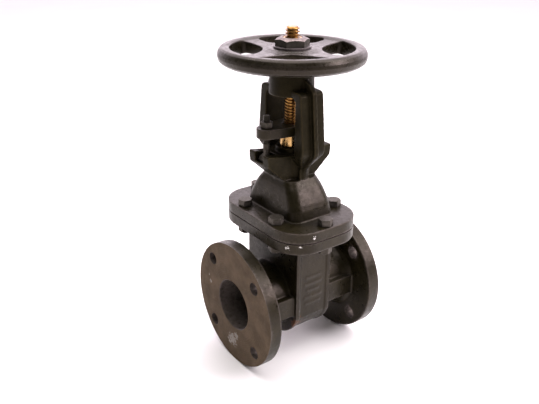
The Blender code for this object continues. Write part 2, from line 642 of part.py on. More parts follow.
def spoke_opening(angle):
    """One wheel opening: the rim's circle and a wide arc that bows to the hub, round-tipped."""
    arc_centre = 94.5 * MM
    arc_r = 55 * MM
    tip_x, tip_y, tip_r = 66.4 * MM, 39 * MM, 7 * MM
    rim_end = math.atan2(tip_y, tip_x)
    tip_end = math.atan2(tip_y, tip_x - arc_centre)
    full = 2 * math.pi
    arcs = ((0, 0, RIM_INNER_R, -rim_end, rim_end, 8),
            (tip_x, tip_y, tip_r, rim_end, tip_end, 4),
            (arc_centre, 0, arc_r, tip_end, full - tip_end, 8),
            (tip_x, -tip_y, tip_r, full - tip_end, full - rim_end, 4))
    turn = Matrix.Rotation(angle, 2)
    outline = []
    for centre_x, centre_y, radius, start, end, steps in arcs:
        for step in range(steps):
            a = start + (end - start) * (step + 0.5) / steps
            outline.append(tuple(turn @ Vector((centre_x + radius * math.cos(a),
                                                centre_y + radius * math.sin(a)))))
    return outline


def build_handwheel(material):
    crest = RIM_HIGH
    rim = [(HUB_R, 349 * MM), (RIM_INNER_R - 3 * MM, 348 * MM), (85 * MM, RIM_LOW + 1.2 * MM),
           (89 * MM, RIM_LOW), (94 * MM, RIM_LOW + 1 * MM), (98.6 * MM, RIM_LOW + 4.5 * MM),
           (WHEEL_R, RIM_LOW + 10 * MM), (99.6 * MM, RIM_LOW + 14.8 * MM),
           (97 * MM, crest - 2.6 * MM), (93.5 * MM, crest - 0.3 * MM), (88.5 * MM, crest),
           (85.2 * MM, crest - 1.2 * MM), (80 * MM, crest - 3 * MM), (60 * MM, 363.1 * MM),
           (42 * MM, 363.2 * MM), (31 * MM, HUB_HIGH),
           (0, HUB_HIGH), (0, HUB_LOW), (HUB_R - MM, HUB_LOW), (HUB_R, HUB_LOW + MM)]
    start = rim.index((0, HUB_LOW))
    wheel = turned("handwheel", rim[start:] + rim[:start], material, steps=TURN_STEPS)
    for quarter in range(4):
        outline = spoke_opening(SPOKE_TURN + math.radians(90 * quarter))
        cut(wheel, prism("opening", outline, 340 * MM, 375 * MM))
    cut(wheel, rod("hub_bore", SLEEVE_HUB_R + GAP, 340 * MM, 375 * MM))
    cut(wheel, box("keyway", (12 * MM, -2.5 * MM - GAP, 340 * MM),
                   (18 * MM, 2.5 * MM + GAP, 375 * MM)))
    return wheel


def build_wheel_fixings(bronze, steel, iron):
    ring("lower_thrust_washer", SLEEVE_R + GAP, COLLAR_R, 310 * MM + GAP, COUNTERBORE_TOP - GAP,
         bronze)
    ring("upper_thrust_washer", SLEEVE_R + GAP, HUB_R - MM, BOSS_HIGH + GAP,
         BOSS_HIGH + GAP + WASHER_THICK, bronze)
    box("handwheel_key", (12.7 * MM, -2.5 * MM, HUB_LOW + 1.5 * MM),
        (17.6 * MM, 2.5 * MM, HUB_HIGH - 0.5 * MM), steel)
    ring("handwheel_washer", SLEEVE_END_R + GAP, WHEEL_WASHER_R, HUB_HIGH + GAP,
         WHEEL_NUT_LOW - GAP, iron)
    hex_nut("handwheel_nut", 41 * MM, SLEEVE_END_R + GAP, WHEEL_NUT_LOW, WHEEL_NUT_HIGH, iron)


def hang_on_axis(name, height, pieces):
    """Parent the moving pieces to an empty on the stem axis, without moving them."""
    axis = bpy.data.objects.new(name, None)
    axis.location = (0, 0, height)
    bpy.context.scene.collection.objects.link(axis)
    for piece in pieces:
        obj = bpy.data.objects[piece]
        obj.parent = axis
        obj.matrix_parent_inverse = Matrix.Translation((0, 0, -height))


def build_valve():
    iron = make_material("cast_iron", (0.055, 0.050, 0.042), 0.55, 0.2)
    wheel_iron = make_material("wheel_iron", (0.045, 0.045, 0.048), 0.5, 0.2)
    bolt_steel = make_material("bolt_steel", (0.05, 0.05, 0.05), 0.5, 0.4)
    bronze = make_material("bronze", (0.60, 0.38, 0.14), 0.3, 1.0)
    packing = make_material("packing", (0.04, 0.04, 0.04), 0.9, 0.0)
    fibre = make_material("gasket_fibre", (0.10, 0.09, 0.08), 0.9, 0.0)

    build_body(iron)
    build_seat_ring("seat_ring_inlet", -1, bronze)
    build_seat_ring("seat_ring_outlet", 1, bronze)
    build_wedge(iron)
    build_wedge_ring("wedge_ring_inlet", -1, bronze)
    build_wedge_ring("wedge_ring_outlet", 1, bronze)
    build_stem(bronze)
    build_bonnet(iron)
    build_gasket(fibre)
    build_backseat_bushing(bronze)
    build_packing(packing)
    build_gland(bronze, iron)
    build_gland_fasteners(-1, "inlet", bolt_steel)
    build_gland_fasteners(1, "outlet", bolt_steel)
    build_bonnet_fasteners(bolt_steel)
    build_sleeve(bronze)
    build_handwheel(wheel_iron)
    build_wheel_fixings(bronze, bolt_steel, wheel_iron)
    hang_on_axis("stem_axis", 0, ["stem", "gate_wedge", "wedge_ring_inlet", "wedge_ring_outlet"])
    hang_on_axis("handwheel_axis", HUB_LOW,
                 ["handwheel", "handwheel_key", "handwheel_washer", "handwheel_nut", "yoke_sleeve"])


clear_scene()
build_valve()
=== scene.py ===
"""Looks of the flanged outside-screw-and-yoke gate valve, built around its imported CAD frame.

Castings are joined solids, remeshed and smoothed as a mould leaves them, then machined.
Turned and threaded pieces are direct meshes. Lengths are in metres, +Z up the stem.
"""

import math

import bmesh
import bpy
from mathutils import Matrix, Vector


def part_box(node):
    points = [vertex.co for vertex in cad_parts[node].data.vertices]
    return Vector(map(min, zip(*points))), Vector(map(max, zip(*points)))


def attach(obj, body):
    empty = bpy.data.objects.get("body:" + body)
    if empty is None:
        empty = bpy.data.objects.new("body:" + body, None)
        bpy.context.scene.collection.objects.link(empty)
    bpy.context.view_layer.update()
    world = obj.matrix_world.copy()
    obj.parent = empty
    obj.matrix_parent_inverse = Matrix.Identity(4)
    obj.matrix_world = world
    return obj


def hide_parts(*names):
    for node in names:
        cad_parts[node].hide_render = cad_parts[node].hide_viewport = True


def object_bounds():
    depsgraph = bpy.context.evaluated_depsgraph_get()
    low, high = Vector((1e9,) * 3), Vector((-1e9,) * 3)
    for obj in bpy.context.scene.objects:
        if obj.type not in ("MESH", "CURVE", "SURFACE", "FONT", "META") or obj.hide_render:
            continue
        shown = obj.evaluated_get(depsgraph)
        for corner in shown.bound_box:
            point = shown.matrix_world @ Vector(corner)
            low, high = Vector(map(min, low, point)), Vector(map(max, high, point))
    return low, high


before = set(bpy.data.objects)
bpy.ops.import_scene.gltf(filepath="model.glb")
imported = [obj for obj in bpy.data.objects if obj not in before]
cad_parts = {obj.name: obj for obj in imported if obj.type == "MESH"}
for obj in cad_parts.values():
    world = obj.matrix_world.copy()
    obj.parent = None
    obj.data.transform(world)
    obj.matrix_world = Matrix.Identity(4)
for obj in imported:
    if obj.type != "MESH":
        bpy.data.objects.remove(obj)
CAD_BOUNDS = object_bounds()

MM = 0.001
VALVE, WHEEL, STEM = "valve_body", "handwheel_group", "stem_group"

# Read from the frame
BODY_LOW, BODY_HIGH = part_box("body")
BONNET_LOW, BONNET_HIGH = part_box("bonnet")
WHEEL_LOW, WHEEL_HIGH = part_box("handwheel")
FLANGE_FACE = BODY_HIGH.x
FLANGE_R = -BODY_LOW.z
JOINT_HALF_X = BONNET_HIGH.x
JOINT_HALF_Y = BONNET_HIGH.y
BODY_JOINT_HIGH = BODY_HIGH.z
BONNET_BASE = BONNET_LOW.z
BOSS_HIGH = BONNET_HIGH.z
WHEEL_R = WHEEL_HIGH.x
RIM_HIGH = WHEEL_HIGH.z
RIM_LOW = WHEEL_LOW.z
RIM_INNER_R = 84.0 * MM
HUB_LOW, HUB_HIGH = 347.2 * MM, 365.0 * MM

# Class 125 pipe flange, 3 inch
FLANGE_THICK = 19.05 * MM
BOLT_CIRCLE_R = 76.2 * MM
FLANGE_HOLE_R = 9.525 * MM
BORE_R = 38.1 * MM
NECK_R = 50.0 * MM
CHAMBER_HALF_X = 28.5 * MM
CHAMBER_HALF_Y = 60.0 * MM
CHAMBER_R = 63.5 * MM
CAVITY_HALF_X = 21.0 * MM
CAVITY_HALF_Y = 51.0 * MM
SEAT_TILT = math.radians(5)
BODY_JOINT_LOW = 103.8 * MM
BONNET_JOINT_HIGH = 136.0 * MM
JOINT_CORNER_R = 44.5 * MM
BONNET_BOLT_R = 6.35 * MM
BONNET_BOLT_SPOTS = [(52.5 * MM, 38.0 * MM), (-52.5 * MM, 38.0 * MM),
                     (52.5 * MM, -38.0 * MM), (-52.5 * MM, -38.0 * MM),
                     (0.0, 81.5 * MM), (0.0, -81.5 * MM)]

# Yoke
LEG_HALF_X = 19.6 * MM
LEG_INNER = 33.0 * MM
LEG_OUTER = 52.5 * MM
LEG_SHOULDER = 44.2 * MM
LEG_FOOT_Z = 227.0 * MM
LEG_ANKLE_HALF_X = 8.0 * MM
LEG_ANKLE_Z = 205.0 * MM
SHOULDER_Z = 312.8 * MM
RIB_HALF_X = 3.4 * MM
RIB_OUTER = 58.9 * MM
RIB_SHOULDER = 50.4 * MM
RIB_TOP = 328.5 * MM
YOKE_IRON_Z = 189.0 * MM          # the bonnet's darker varnish starts above this height; its darkness is partly painted shade
BOSS_LOW = 304.0 * MM
BOSS_R = 31.2 * MM
BOX_TOP = 222.0 * MM
GLAND_BOLT_X = 42.0 * MM
HINGE_Z = 215.0 * MM

PIN_HOLE_R = 4.3 * MM
PACKING_BORE_R = 15.9 * MM
SLEEVE_BORE_R = 17.1 * MM
SPIGOT_BORE_R = 13.3 * MM
KEYWAY_HALF = 2.8 * MM
BONNET_HEX = 18.7 * MM
GLAND_HEX = 15.6 * MM
WHEEL_HEX = 41.0 * MM

# Castings: voxel size, rounds of smoothing and share of the faces kept
BODY_CAST = (1.3 * MM, 5, 0.4)
BONNET_CAST = (1.05 * MM, 4, 0.5)
WHEEL_CAST = (0.9 * MM, 4, 0.5)
GLAND_CAST = (0.8 * MM, 5, 0.7)
GROWTH = 0.3 * MM                 # joint flanges are cast larger, as smoothing shrinks them
STOCK = 4.0 * MM                  # left on the faces and machined off again
FAR = 0.2                         # cutters reach this far, clear of every piece
WELD_GAP = 0.002 * MM

# Degrees: each bolt and nut as it was left, and the wheel
BOLT_TURNS = (12, 47, 20, 33, 8, 26)
NUT_TURNS = (5, 28, 41, 17, 36, 22)
WHEEL_NUT_TURN = 33.5
WHEEL_TURN = 53.5

# Edges sharper than this many degrees stay sharp in shading
CAST_SHARP, HEX_SHARP, WHEEL_NUT_SHARP = 32, 25, 20

# Stem thread, left-handed
STEM_R = 9.525 * MM
THREAD_PITCH = 25.4 / 6 * MM
THREAD_ROOT_R = STEM_R - THREAD_PITCH / 2 - 0.2 * MM
THREAD_START = math.radians(7)

AXIS_FRAMES = {
    "X": Matrix(((0, 0, 1), (1, 0, 0), (0, 1, 0))),
    "Y": Matrix(((1, 0, 0), (0, 0, 1), (0, 1, 0))),
    "Z": Matrix.Identity(3)}
LATHE_FRAMES = {
    "X": Matrix.Rotation(math.pi / 2, 3, "Y"),
    "Y": Matrix.Rotation(-math.pi / 2, 3, "X"),
    "Z": Matrix.Identity(3)}


# ---------------------------------------------------------------- mesh tools

def mesh_object(name, bm):
    bmesh.ops.recalc_face_normals(bm, faces=bm.faces)
    if bm.calc_volume(signed=True) < 0:
        bmesh.ops.reverse_faces(bm, faces=bm.faces)
    mesh = bpy.data.meshes.new(name)
    bm.to_mesh(mesh)
    bm.free()
    obj = bpy.data.objects.new(name, mesh)
    bpy.context.scene.collection.objects.link(obj)
    return obj


def lathe(name, profile, axis="Z", steps=96, ring=False, tilt=0.0):
    """Revolve (radius, height) points about an axis; ring=True closes the profile."""
    bm = bmesh.new()
    verts = [bm.verts.new((radius, 0, height)) for radius, height in profile]
    ends = verts[1:] + verts[:1] if ring else verts[1:]
    edges = [bm.edges.new(pair) for pair in zip(verts, ends)]
    bmesh.ops.spin(bm, geom=verts + edges, cent=(0, 0, 0), axis=(0, 0, 1),
                   angle=2 * math.pi, steps=steps, use_merge=True)
    bmesh.ops.remove_doubles(bm, verts=bm.verts, dist=0.005 * MM)
    bm.transform((Matrix.Rotation(tilt, 3, "Y") @ LATHE_FRAMES[axis]).to_4x4())
    return mesh_object(name, bm)


def rod(name, radius, low, high, **kwargs):
    return lathe(name, [(0, low), (radius, low), (radius, high), (0, high)], **kwargs)


def tube(name, inner, outer, low, high, edge=0.4 * MM, **kwargs):
    """A washer or ring with small chamfers on its outer edges."""
    profile = [(inner, low), (outer - edge, low), (outer, low + edge), (outer, high - edge),
               (outer - edge, high), (inner, high)]
    return lathe(name, profile, ring=True, **kwargs)


def prism(name, outline, low, high, axis="Z"):
    bm = bmesh.new()
    base = bm.faces.new([bm.verts.new((a, b, low)) for a, b in outline])
    side = bmesh.ops.extrude_face_region(bm, geom=[base])
    moved = [item for item in side["geom"] if isinstance(item, bmesh.types.BMVert)]
    bmesh.ops.translate(bm, verts=moved, vec=(0, 0, high - low))
    bm.transform(AXIS_FRAMES[axis].to_4x4())
    return mesh_object(name, bm)


def box(name, low, high):
    outline = [(low[0], low[1]), (high[0], low[1]), (high[0], high[1]), (low[0], high[1])]
    return prism(name, outline, low[2], high[2])


def loft(name, sections):
    """Bridge flat sections [(z, outline)] that all have the same number of points."""
    bm = bmesh.new()
    loops = [[bm.verts.new((x, y, z)) for x, y in outline] for z, outline in sections]
    for lower, upper in zip(loops, loops[1:]):
        for i in range(len(lower)):
            j = (i + 1) % len(lower)
            bm.faces.new((lower[i], lower[j], upper[j], upper[i]))
    bm.faces.new(loops[0])
    bm.faces.new(loops[-1])
    return mesh_object(name, bm)


def rounded(corners, steps=8):
    """Outline through (x, y, radius) corners, each turned by an arc of its radius."""
    points = []
    for index, (x, y, radius) in enumerate(corners):
        if radius == 0:
            points.append((x, y))
            continue
        here = Vector((x, y))
        to_before = (Vector(corners[index - 1][:2]) - here).normalized()
        to_after = (Vector(corners[(index + 1) % len(corners)][:2]) - here).normalized()
        half = math.acos(to_before.dot(to_after)) / 2
        centre = here + (to_before + to_after).normalized() * radius / math.sin(half)
        first = here + to_before * radius / math.tan(half) - centre
        last = here + to_after * radius / math.tan(half) - centre
        start, end = math.atan2(first.y, first.x), math.atan2(last.y, last.x)
        sweep = (end - start + math.pi) % (2 * math.pi) - math.pi
        for step in range(steps + 1):
            angle = start + sweep * step / steps
            points.append((centre.x + radius * math.cos(angle),
                           centre.y + radius * math.sin(angle)))
    return points


def rounded_rectangle(half_x, half_y, radius, steps=10):
    return rounded([(half_x, half_y, radius), (-half_x, half_y, radius),
                    (-half_x, -half_y, radius), (half_x, -half_y, radius)], steps)


def hexagon(across_flats, turn=0.0):
    corner = across_flats / math.sqrt(3)
    return [(corner * math.cos(turn + math.pi / 3 * i), corner * math.sin(turn + math.pi / 3 * i))
            for i in range(6)]


def apply_modifiers(obj):
    depsgraph = bpy.context.evaluated_depsgraph_get()
    mesh = bpy.data.meshes.new_from_object(obj.evaluated_get(depsgraph))
    obj.modifiers.clear()
    obj.data = mesh
    return obj


def combine(target, tools, operation, solver="EXACT"):
    for tool in tools:
        modifier = target.modifiers.new(operation, "BOOLEAN")
        modifier.operation = operation
        modifier.solver = solver
        modifier.object = tool
        apply_modifiers(target)
        bpy.data.objects.remove(tool)
        weld(target)
    return target


def weld(obj):
    bm = bmesh.new()
    bm.from_mesh(obj.data)
    bmesh.ops.remove_doubles(bm, verts=bm.verts, dist=WELD_GAP)
    bmesh.ops.dissolve_degenerate(bm, edges=bm.edges, dist=WELD_GAP)
    bm.to_mesh(obj.data)
    bm.free()


def cut(target, *tools):
    return combine(target, tools, "DIFFERENCE")


def machine(target, *tools):
    """Cut clean faces and holes into a dense casting."""
    return combine(target, tools, "DIFFERENCE", "MANIFOLD")


def cast(name, solids, voxel, rounds, keep):
    """Fuse overlapping solids into one casting with rounded edges and filleted corners."""
    bm = bmesh.new()
    for solid in solids:
        bm.from_mesh(solid.data)
        bpy.data.objects.remove(solid)
    mesh = bpy.data.meshes.new(name)
    bm.to_mesh(mesh)
    bm.free()
    obj = bpy.data.objects.new(name, mesh)
    bpy.context.scene.collection.objects.link(obj)
    remesh = obj.modifiers.new("voxels", "REMESH")
    remesh.mode = "VOXEL"
    remesh.voxel_size = voxel
    smooth = obj.modifiers.new("smooth", "SMOOTH")
    smooth.factor = 0.5
    smooth.iterations = rounds
    fewer = obj.modifiers.new("fewer", "DECIMATE")
    fewer.ratio = keep
    return apply_modifiers(obj)


def place(obj, x, y, z=0.0):
    obj.data.transform(Matrix.Translation((x, y, z)))
    return obj


def finish_piece(obj, material, body, nodes, sharp=35):
    """Shade a piece, hang it on its body and let it stand for its CAD nodes."""
    obj.data.materials.clear()
    obj.data.materials.append(material)
    obj.data.shade_smooth()
    obj.data.set_sharp_from_angle(angle=math.radians(sharp))
    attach(obj, body)
    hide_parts(*nodes)
    return obj


# ---------------------------------------------------------------- materials

class Shader:
    """A material under construction; each call adds a node and returns its output."""

    def __init__(self, name, roughness, metallic=0.0, specular=0.5, tint=(1.0, 1.0, 1.0)):
        self.material = bpy.data.materials.new(name)
        self.material.use_nodes = True
        self.tree = self.material.node_tree
        self.surface = self.tree.nodes["Principled BSDF"]
        self.surface.inputs["Roughness"].default_value = roughness
        self.surface.inputs["Metallic"].default_value = metallic
        self.surface.inputs["Specular IOR Level"].default_value = specular
        self.surface.inputs["Specular Tint"].default_value = (*tint, 1)
        self.place = self.tree.nodes.new("ShaderNodeTexCoord").outputs["Object"]

    def fill(self, socket, value):
        if isinstance(value, bpy.types.NodeSocket):
            self.tree.links.new(value, socket)
        elif isinstance(value, tuple) and len(value) == 3 and socket.type == "RGBA":
            socket.default_value = (*value, 1)
        else:
            socket.default_value = value

    def noise(self, size, detail=5.0, roughness=0.55, distortion=0.0, stretch=None):
        """Noise whose lumps are about size metres across, from 0 to 1."""
        node = self.tree.nodes.new("ShaderNodeTexNoise")
        node.inputs["Scale"].default_value = 1 / size
        node.inputs["Detail"].default_value = detail
        node.inputs["Roughness"].default_value = roughness
        node.inputs["Distortion"].default_value = distortion
        self.fill(node.inputs["Vector"], self.stretched(stretch) if stretch else self.place)
        return node.outputs["Fac"]

    def stretched(self, scale):
        node = self.tree.nodes.new("ShaderNodeVectorMath")
        node.operation = "MULTIPLY"
        self.fill(node.inputs[0], self.place)
        node.inputs[1].default_value = scale
        return node.outputs["Vector"]

    def maths(self, operation, a, b=0.0, clamp=False):
        node = self.tree.nodes.new("ShaderNodeMath")
        node.operation = operation
        node.use_clamp = clamp
        self.fill(node.inputs[0], a)
        self.fill(node.inputs[1], b)
        return node.outputs[0]

    def span(self, value, low, high, to_low=0.0, to_high=1.0):
        """Map low..high of a value to to_low..to_high, with the ends held."""
        node = self.tree.nodes.new("ShaderNodeMapRange")
        self.fill(node.inputs["Value"], value)
        for socket, number in (("From Min", low), ("From Max", high),
                               ("To Min", to_low), ("To Max", to_high)):
            node.inputs[socket].default_value = number
        return node.outputs["Result"]

    def mix(self, factor, a, b, blend="MIX"):
        node = self.tree.nodes.new("ShaderNodeMix")
        node.data_type = "RGBA"
        node.blend_type = blend
        self.fill(node.inputs["Factor"], factor)
        self.fill(node.inputs["A"], a)
        self.fill(node.inputs["B"], b)
        return node.outputs["Result"]

    def edges(self, low=0.505, high=0.56):
        """1 on convex edges, 0 elsewhere, broken up as rubbing is; it lightens edges as rubbed
        metal and as a painted highlight.
        """
        node = self.tree.nodes.new("ShaderNodeNewGeometry")
        edge_rub_and_highlight = self.span(node.outputs["Pointiness"], low, high)
        return self.maths("MULTIPLY", edge_rub_and_highlight, self.span(self.noise(6 * MM), 0.3, 0.6, 0.45, 1.0))

    def crevices(self, distance=10 * MM):
        """1 in corners and grooves, 0 on open surfaces."""
        node = self.tree.nodes.new("ShaderNodeAmbientOcclusion")
        node.samples = 8
        node.inputs["Distance"].default_value = distance
        return self.span(node.outputs["AO"], 0.35, 0.95, 1.0, 0.0)

    def spot(self, centre, radius, grain=3 * MM, share=0.5):
        """A ragged patch of the given radius about a point of the object."""
        node = self.tree.nodes.new("ShaderNodeVectorMath")
        node.operation = "DISTANCE"
        self.fill(node.inputs[0], self.place)
        node.inputs[1].default_value = centre
        near = self.span(node.outputs["Value"], 0.0, radius, 1.0, 0.0)
        ragged = self.maths("ADD", near, self.span(self.noise(grain, 6), 0.3, 0.7, -0.6, 0.6))
        patch = self.span(ragged, 1.0 - share, 1.12 - share)
        return self.maths("MULTIPLY", patch, self.span(near, 0.0, 0.2))

    def bump(self, *layers):
        """Stack (height socket, depth in metres) layers of relief."""
        normal = None
        for height, depth in layers:
            node = self.tree.nodes.new("ShaderNodeBump")
            node.inputs["Strength"].default_value = 1.0
            node.inputs["Distance"].default_value = depth
            self.fill(node.inputs["Height"], height)
            if normal:
                self.fill(node.inputs["Normal"], normal)
            normal = node.outputs["Normal"]
        self.fill(self.surface.inputs["Normal"], normal)

    def finish(self, color, roughness=None, metallic=None):
        self.fill(self.surface.inputs["Base Color"], color)
        if roughness is not None:
            self.fill(self.surface.inputs["Roughness"], roughness)
        if metallic is not None:
            self.fill(self.surface.inputs["Metallic"], metallic)
        return self.material


def varnished_iron(name, dark, light, edge_rub_and_highlight, patches=(), rust=(), gloss=0.32, specular=0.24,
                   tint=(1.0, 0.86, 0.74)):
    """Cast iron under thin dark varnish, rubbed lighter on its edges, partly as a painted highlight
    there, and darkened in its corners as dirt and painted shade.
    """
    shader = Shader(name, gloss, specular=specular, tint=tint)
    base = shader.mix(shader.span(shader.noise(38 * MM, 4), 0.38, 0.62), dark, light)
    grain = shader.span(shader.noise(1.6 * MM, 3), 0.35, 0.65, 0.86, 1.14)
    mottle = shader.span(shader.noise(9 * MM, 6, 0.65), 0.32, 0.68, 0.75, 1.25)
    tone = shader.maths("MULTIPLY", grain, mottle)
    base = shader.mix(1.0, base, tone, "MULTIPLY")
    # corners and grooves darkened from ambient occlusion: partly dirt, partly painted shade; the
    # same mask also roughens them below
    dirt_and_shade = shader.maths("MULTIPLY", shader.crevices(), 0.8)
    base = shader.mix(dirt_and_shade, base, (dark[0] * 0.45, dark[1] * 0.4, dark[2] * 0.3))
    # convex edges lightened: partly rubbed metal, partly a painted highlight
    rub_and_highlight = shader.maths("MULTIPLY", shader.edges(), 0.7)
    base = shader.mix(rub_and_highlight, base, edge_rub_and_highlight)
    for centre, radius in rust:
        base = shader.mix(shader.maths("MULTIPLY", shader.spot(centre, radius, 5 * MM), 0.5),
                          base, (0.13, 0.045, 0.015))
    for centre, radius in patches:
        base = shader.mix(shader.spot(centre, radius, 2 * MM, 0.5), base, (0.58, 0.56, 0.54))
    rough = shader.span(shader.noise(5 * MM, 5), 0.3, 0.7, gloss - 0.08, gloss + 0.14)
    rough = shader.maths("ADD", rough, shader.maths("MULTIPLY", dirt_and_shade, 0.25))
    shader.bump((shader.noise(1.1 * MM, 4, 0.6), 0.05 * MM), (shader.noise(7 * MM, 3), 0.25 * MM))
    return shader.finish(base, rough)


def bronze(name, color, dark, roughness, streak=(0.04, 0.04, 1.0), streaks=1.0):
    """Turned bronze with fine tool marks and a tarnish in its hollows."""
    shader = Shader(name, roughness, metallic=1.0)
    marks = shader.noise(0.5 * MM, 3, stretch=streak)
    base = shader.mix(shader.span(shader.noise(6 * MM, 5), 0.35, 0.7), color, dark)
    base = shader.mix(shader.maths("MULTIPLY", shader.crevices(3 * MM), 0.75), base,
                      (dark[0] * 0.35, dark[1] * 0.25, dark[2] * 0.2))
    rough = shader.span(shader.noise(3 * MM, 4), 0.3, 0.7, roughness - 0.07, roughness + 0.14)
    shader.bump((marks, 0.02 * MM * streaks), (shader.noise(4 * MM, 3), 0.04 * MM))
    return shader.finish(base, rough)


def dark_steel(name, color, edge_rub_and_highlight, roughness=0.5):
    """Blackened bolts and nuts with rubbed corners, lightened on their edges partly as a painted
    highlight and darkened in their hollows as painted shade.
    """
    shader = Shader(name, roughness, metallic=0.1, specular=0.25, tint=(1.0, 0.88, 0.7))
    base = shader.mix(shader.span(shader.noise(5 * MM, 5), 0.35, 0.65), color,
                      tuple(c * 1.7 for c in color))
    # convex edges lightened: partly rubbed metal, partly a painted highlight
    base = shader.mix(shader.maths("MULTIPLY", shader.edges(0.51, 0.6), 0.8), base, edge_rub_and_highlight)
    # hollows darkened from ambient occlusion: painted shade
    base = shader.mix(shader.maths("MULTIPLY", shader.crevices(5 * MM), 0.6), base,
                      tuple(c * 0.4 for c in color))
    rough = shader.span(shader.noise(2.5 * MM, 4), 0.3, 0.7, roughness - 0.1, roughness + 0.15)
    shader.bump((shader.noise(0.9 * MM, 4, 0.6), 0.05 * MM), (shader.noise(4 * MM), 0.1 * MM))
    return shader.finish(base, rough)


def soft_material(name, color, grain, depth):
    """Packing braid or gasket sheet: matt and fibrous."""
    shader = Shader(name, 0.9)
    base = shader.mix(shader.span(shader.noise(grain, 6), 0.3, 0.7), color,
                      tuple(c * 2.2 for c in color))
    shader.bump((shader.noise(grain, 6, 0.7), depth))
    return shader.finish(base, shader.span(shader.noise(grain * 3), 0.3, 0.7, 0.8, 0.98))


def machined_face(name):
    """The faced ends of the pipe flanges: oiled, finely ringed about the pipe axis."""
    shader = Shader(name, 0.68, specular=0.1, tint=(1.0, 0.85, 0.7))
    rings = shader.tree.nodes.new("ShaderNodeTexWave")
    rings.wave_type = "RINGS"
    rings.rings_direction = "X"
    rings.inputs["Scale"].default_value = 95.0
    rings.inputs["Distortion"].default_value = 0.6
    rings.inputs["Detail"].default_value = 3.0
    shader.fill(rings.inputs["Vector"], shader.place)
    base = shader.mix(shader.span(shader.noise(26 * MM, 5), 0.36, 0.64),
                      (0.062, 0.042, 0.025), (0.098, 0.068, 0.043))
    base = shader.mix(shader.span(shader.noise(3 * MM, 7, 0.7), 0.55, 0.72, 0.0, 0.45), base,
                      (0.026, 0.019, 0.013))
    base = shader.mix(shader.span(rings.outputs["Fac"], 0.0, 1.0, 0.0, 0.16), base,
                      (0.12, 0.10, 0.08))
    speckle = shader.span(shader.noise(1.2 * MM, 3), 0.70, 0.76, 0.0, 0.6)
    base = shader.mix(speckle, base, (0.42, 0.38, 0.34))
    for centre, radius, share in (((-101.6 * MM, 4 * MM, -63 * MM), 16 * MM, 0.62),
                                  ((-101.6 * MM, -7 * MM, -52 * MM), 9 * MM, 0.55),
                                  ((-101.6 * MM, 12 * MM, -70 * MM), 8 * MM, 0.5),
                                  ((-101.6 * MM, 62 * MM, 10 * MM), 5 * MM, 0.5),
                                  ((-101.6 * MM, 66 * MM, 20 * MM), 3 * MM, 0.5)):
        scuff = shader.maths("MULTIPLY", shader.spot(centre, radius, 3 * MM, share), 0.32)
        base = shader.mix(scuff, base, (0.55, 0.53, 0.51))
    rough = shader.span(shader.noise(6 * MM, 5), 0.3, 0.7, 0.62, 0.78)
    shader.bump((rings.outputs["Fac"], 0.03 * MM), (shader.noise(0.8 * MM, 4), 0.04 * MM))
    return shader.finish(base, rough)


def make_materials():
    iron = varnished_iron(
        "varnished_iron", (0.0062, 0.0050, 0.0014), (0.0135, 0.0110, 0.0045), (0.11, 0.092, 0.085),
        patches=(((-59.8 * MM, -73.7 * MM, 114 * MM), 5 * MM),
                 ((-46.7 * MM, -86.8 * MM, 116.5 * MM), 3.5 * MM),
                 ((-28.7 * MM, -93.6 * MM, 128.5 * MM), 4 * MM)),
        rust=(((-28 * MM, -58 * MM, -30 * MM), 18 * MM), ((20 * MM, -62 * MM, 92 * MM), 16 * MM)))
    # a darker copy of the varnish for the yoke, with dimmer edges: partly a darker finish, partly
    # painted shade
    yoke = varnished_iron(
        "yoke_iron_shaded", (0.0045, 0.0038, 0.0014), (0.0095, 0.008, 0.0035), (0.045, 0.036, 0.020),
        gloss=0.40, specular=0.09, tint=(1.0, 0.82, 0.52))
    wheel = varnished_iron(
        "wheel_iron", (0.0060, 0.0048, 0.0018), (0.012, 0.0100, 0.0055), (0.13, 0.11, 0.115),
        gloss=0.30, specular=0.28)
    return {
        "iron": iron,
        "yoke": yoke,
        "wheel": wheel,
        "face": machined_face("faced_iron"),
        "nut": dark_steel("wheel_nut_steel", (0.006, 0.008, 0.005), (0.09, 0.08, 0.07), 0.4),
        "bare": bronze("bare_nut_steel", (0.20, 0.165, 0.155), (0.10, 0.08, 0.075), 0.42,
                       streaks=2.0),
        "bolt": dark_steel("bolt_steel", (0.009, 0.008, 0.005), (0.10, 0.088, 0.08), 0.42),
        "stem": bronze("stem_bronze", (0.46, 0.255, 0.075), (0.16, 0.07, 0.02), 0.30),
        "polished": bronze("polished_bronze", (0.47, 0.30, 0.125), (0.32, 0.18, 0.06), 0.20),
        "bronze": bronze("seat_bronze", (0.55, 0.36, 0.17), (0.36, 0.21, 0.09), 0.36),
        "packing": soft_material("graphite_packing", (0.012, 0.012, 0.013), 1.5 * MM, 0.2 * MM),
        "gasket": soft_material("fibre_gasket", (0.035, 0.022, 0.016), 0.9 * MM, 0.08 * MM)}


# ---------------------------------------------------------------- castings

def chamber_outline(half_y, radius, top, steps=48):
    side_angle = math.acos(half_y / radius)
    span = math.pi - 2 * side_angle
    bottom = [(radius * math.cos(-side_angle - span * i / steps),
               radius * math.sin(-side_angle - span * i / steps)) for i in range(steps + 1)]
    return [(half_y, top)] + bottom + [(-half_y, top)]


def joint_outline(inset=0.0):
    return rounded_rectangle(JOINT_HALF_X - inset, JOINT_HALF_Y - inset, JOINT_CORNER_R, 16)


def joint_holes(low, high):
    return [place(rod("hole", BONNET_BOLT_R + 0.6 * MM, low, high, steps=32), x, y)
            for x, y in BONNET_BOLT_SPOTS]


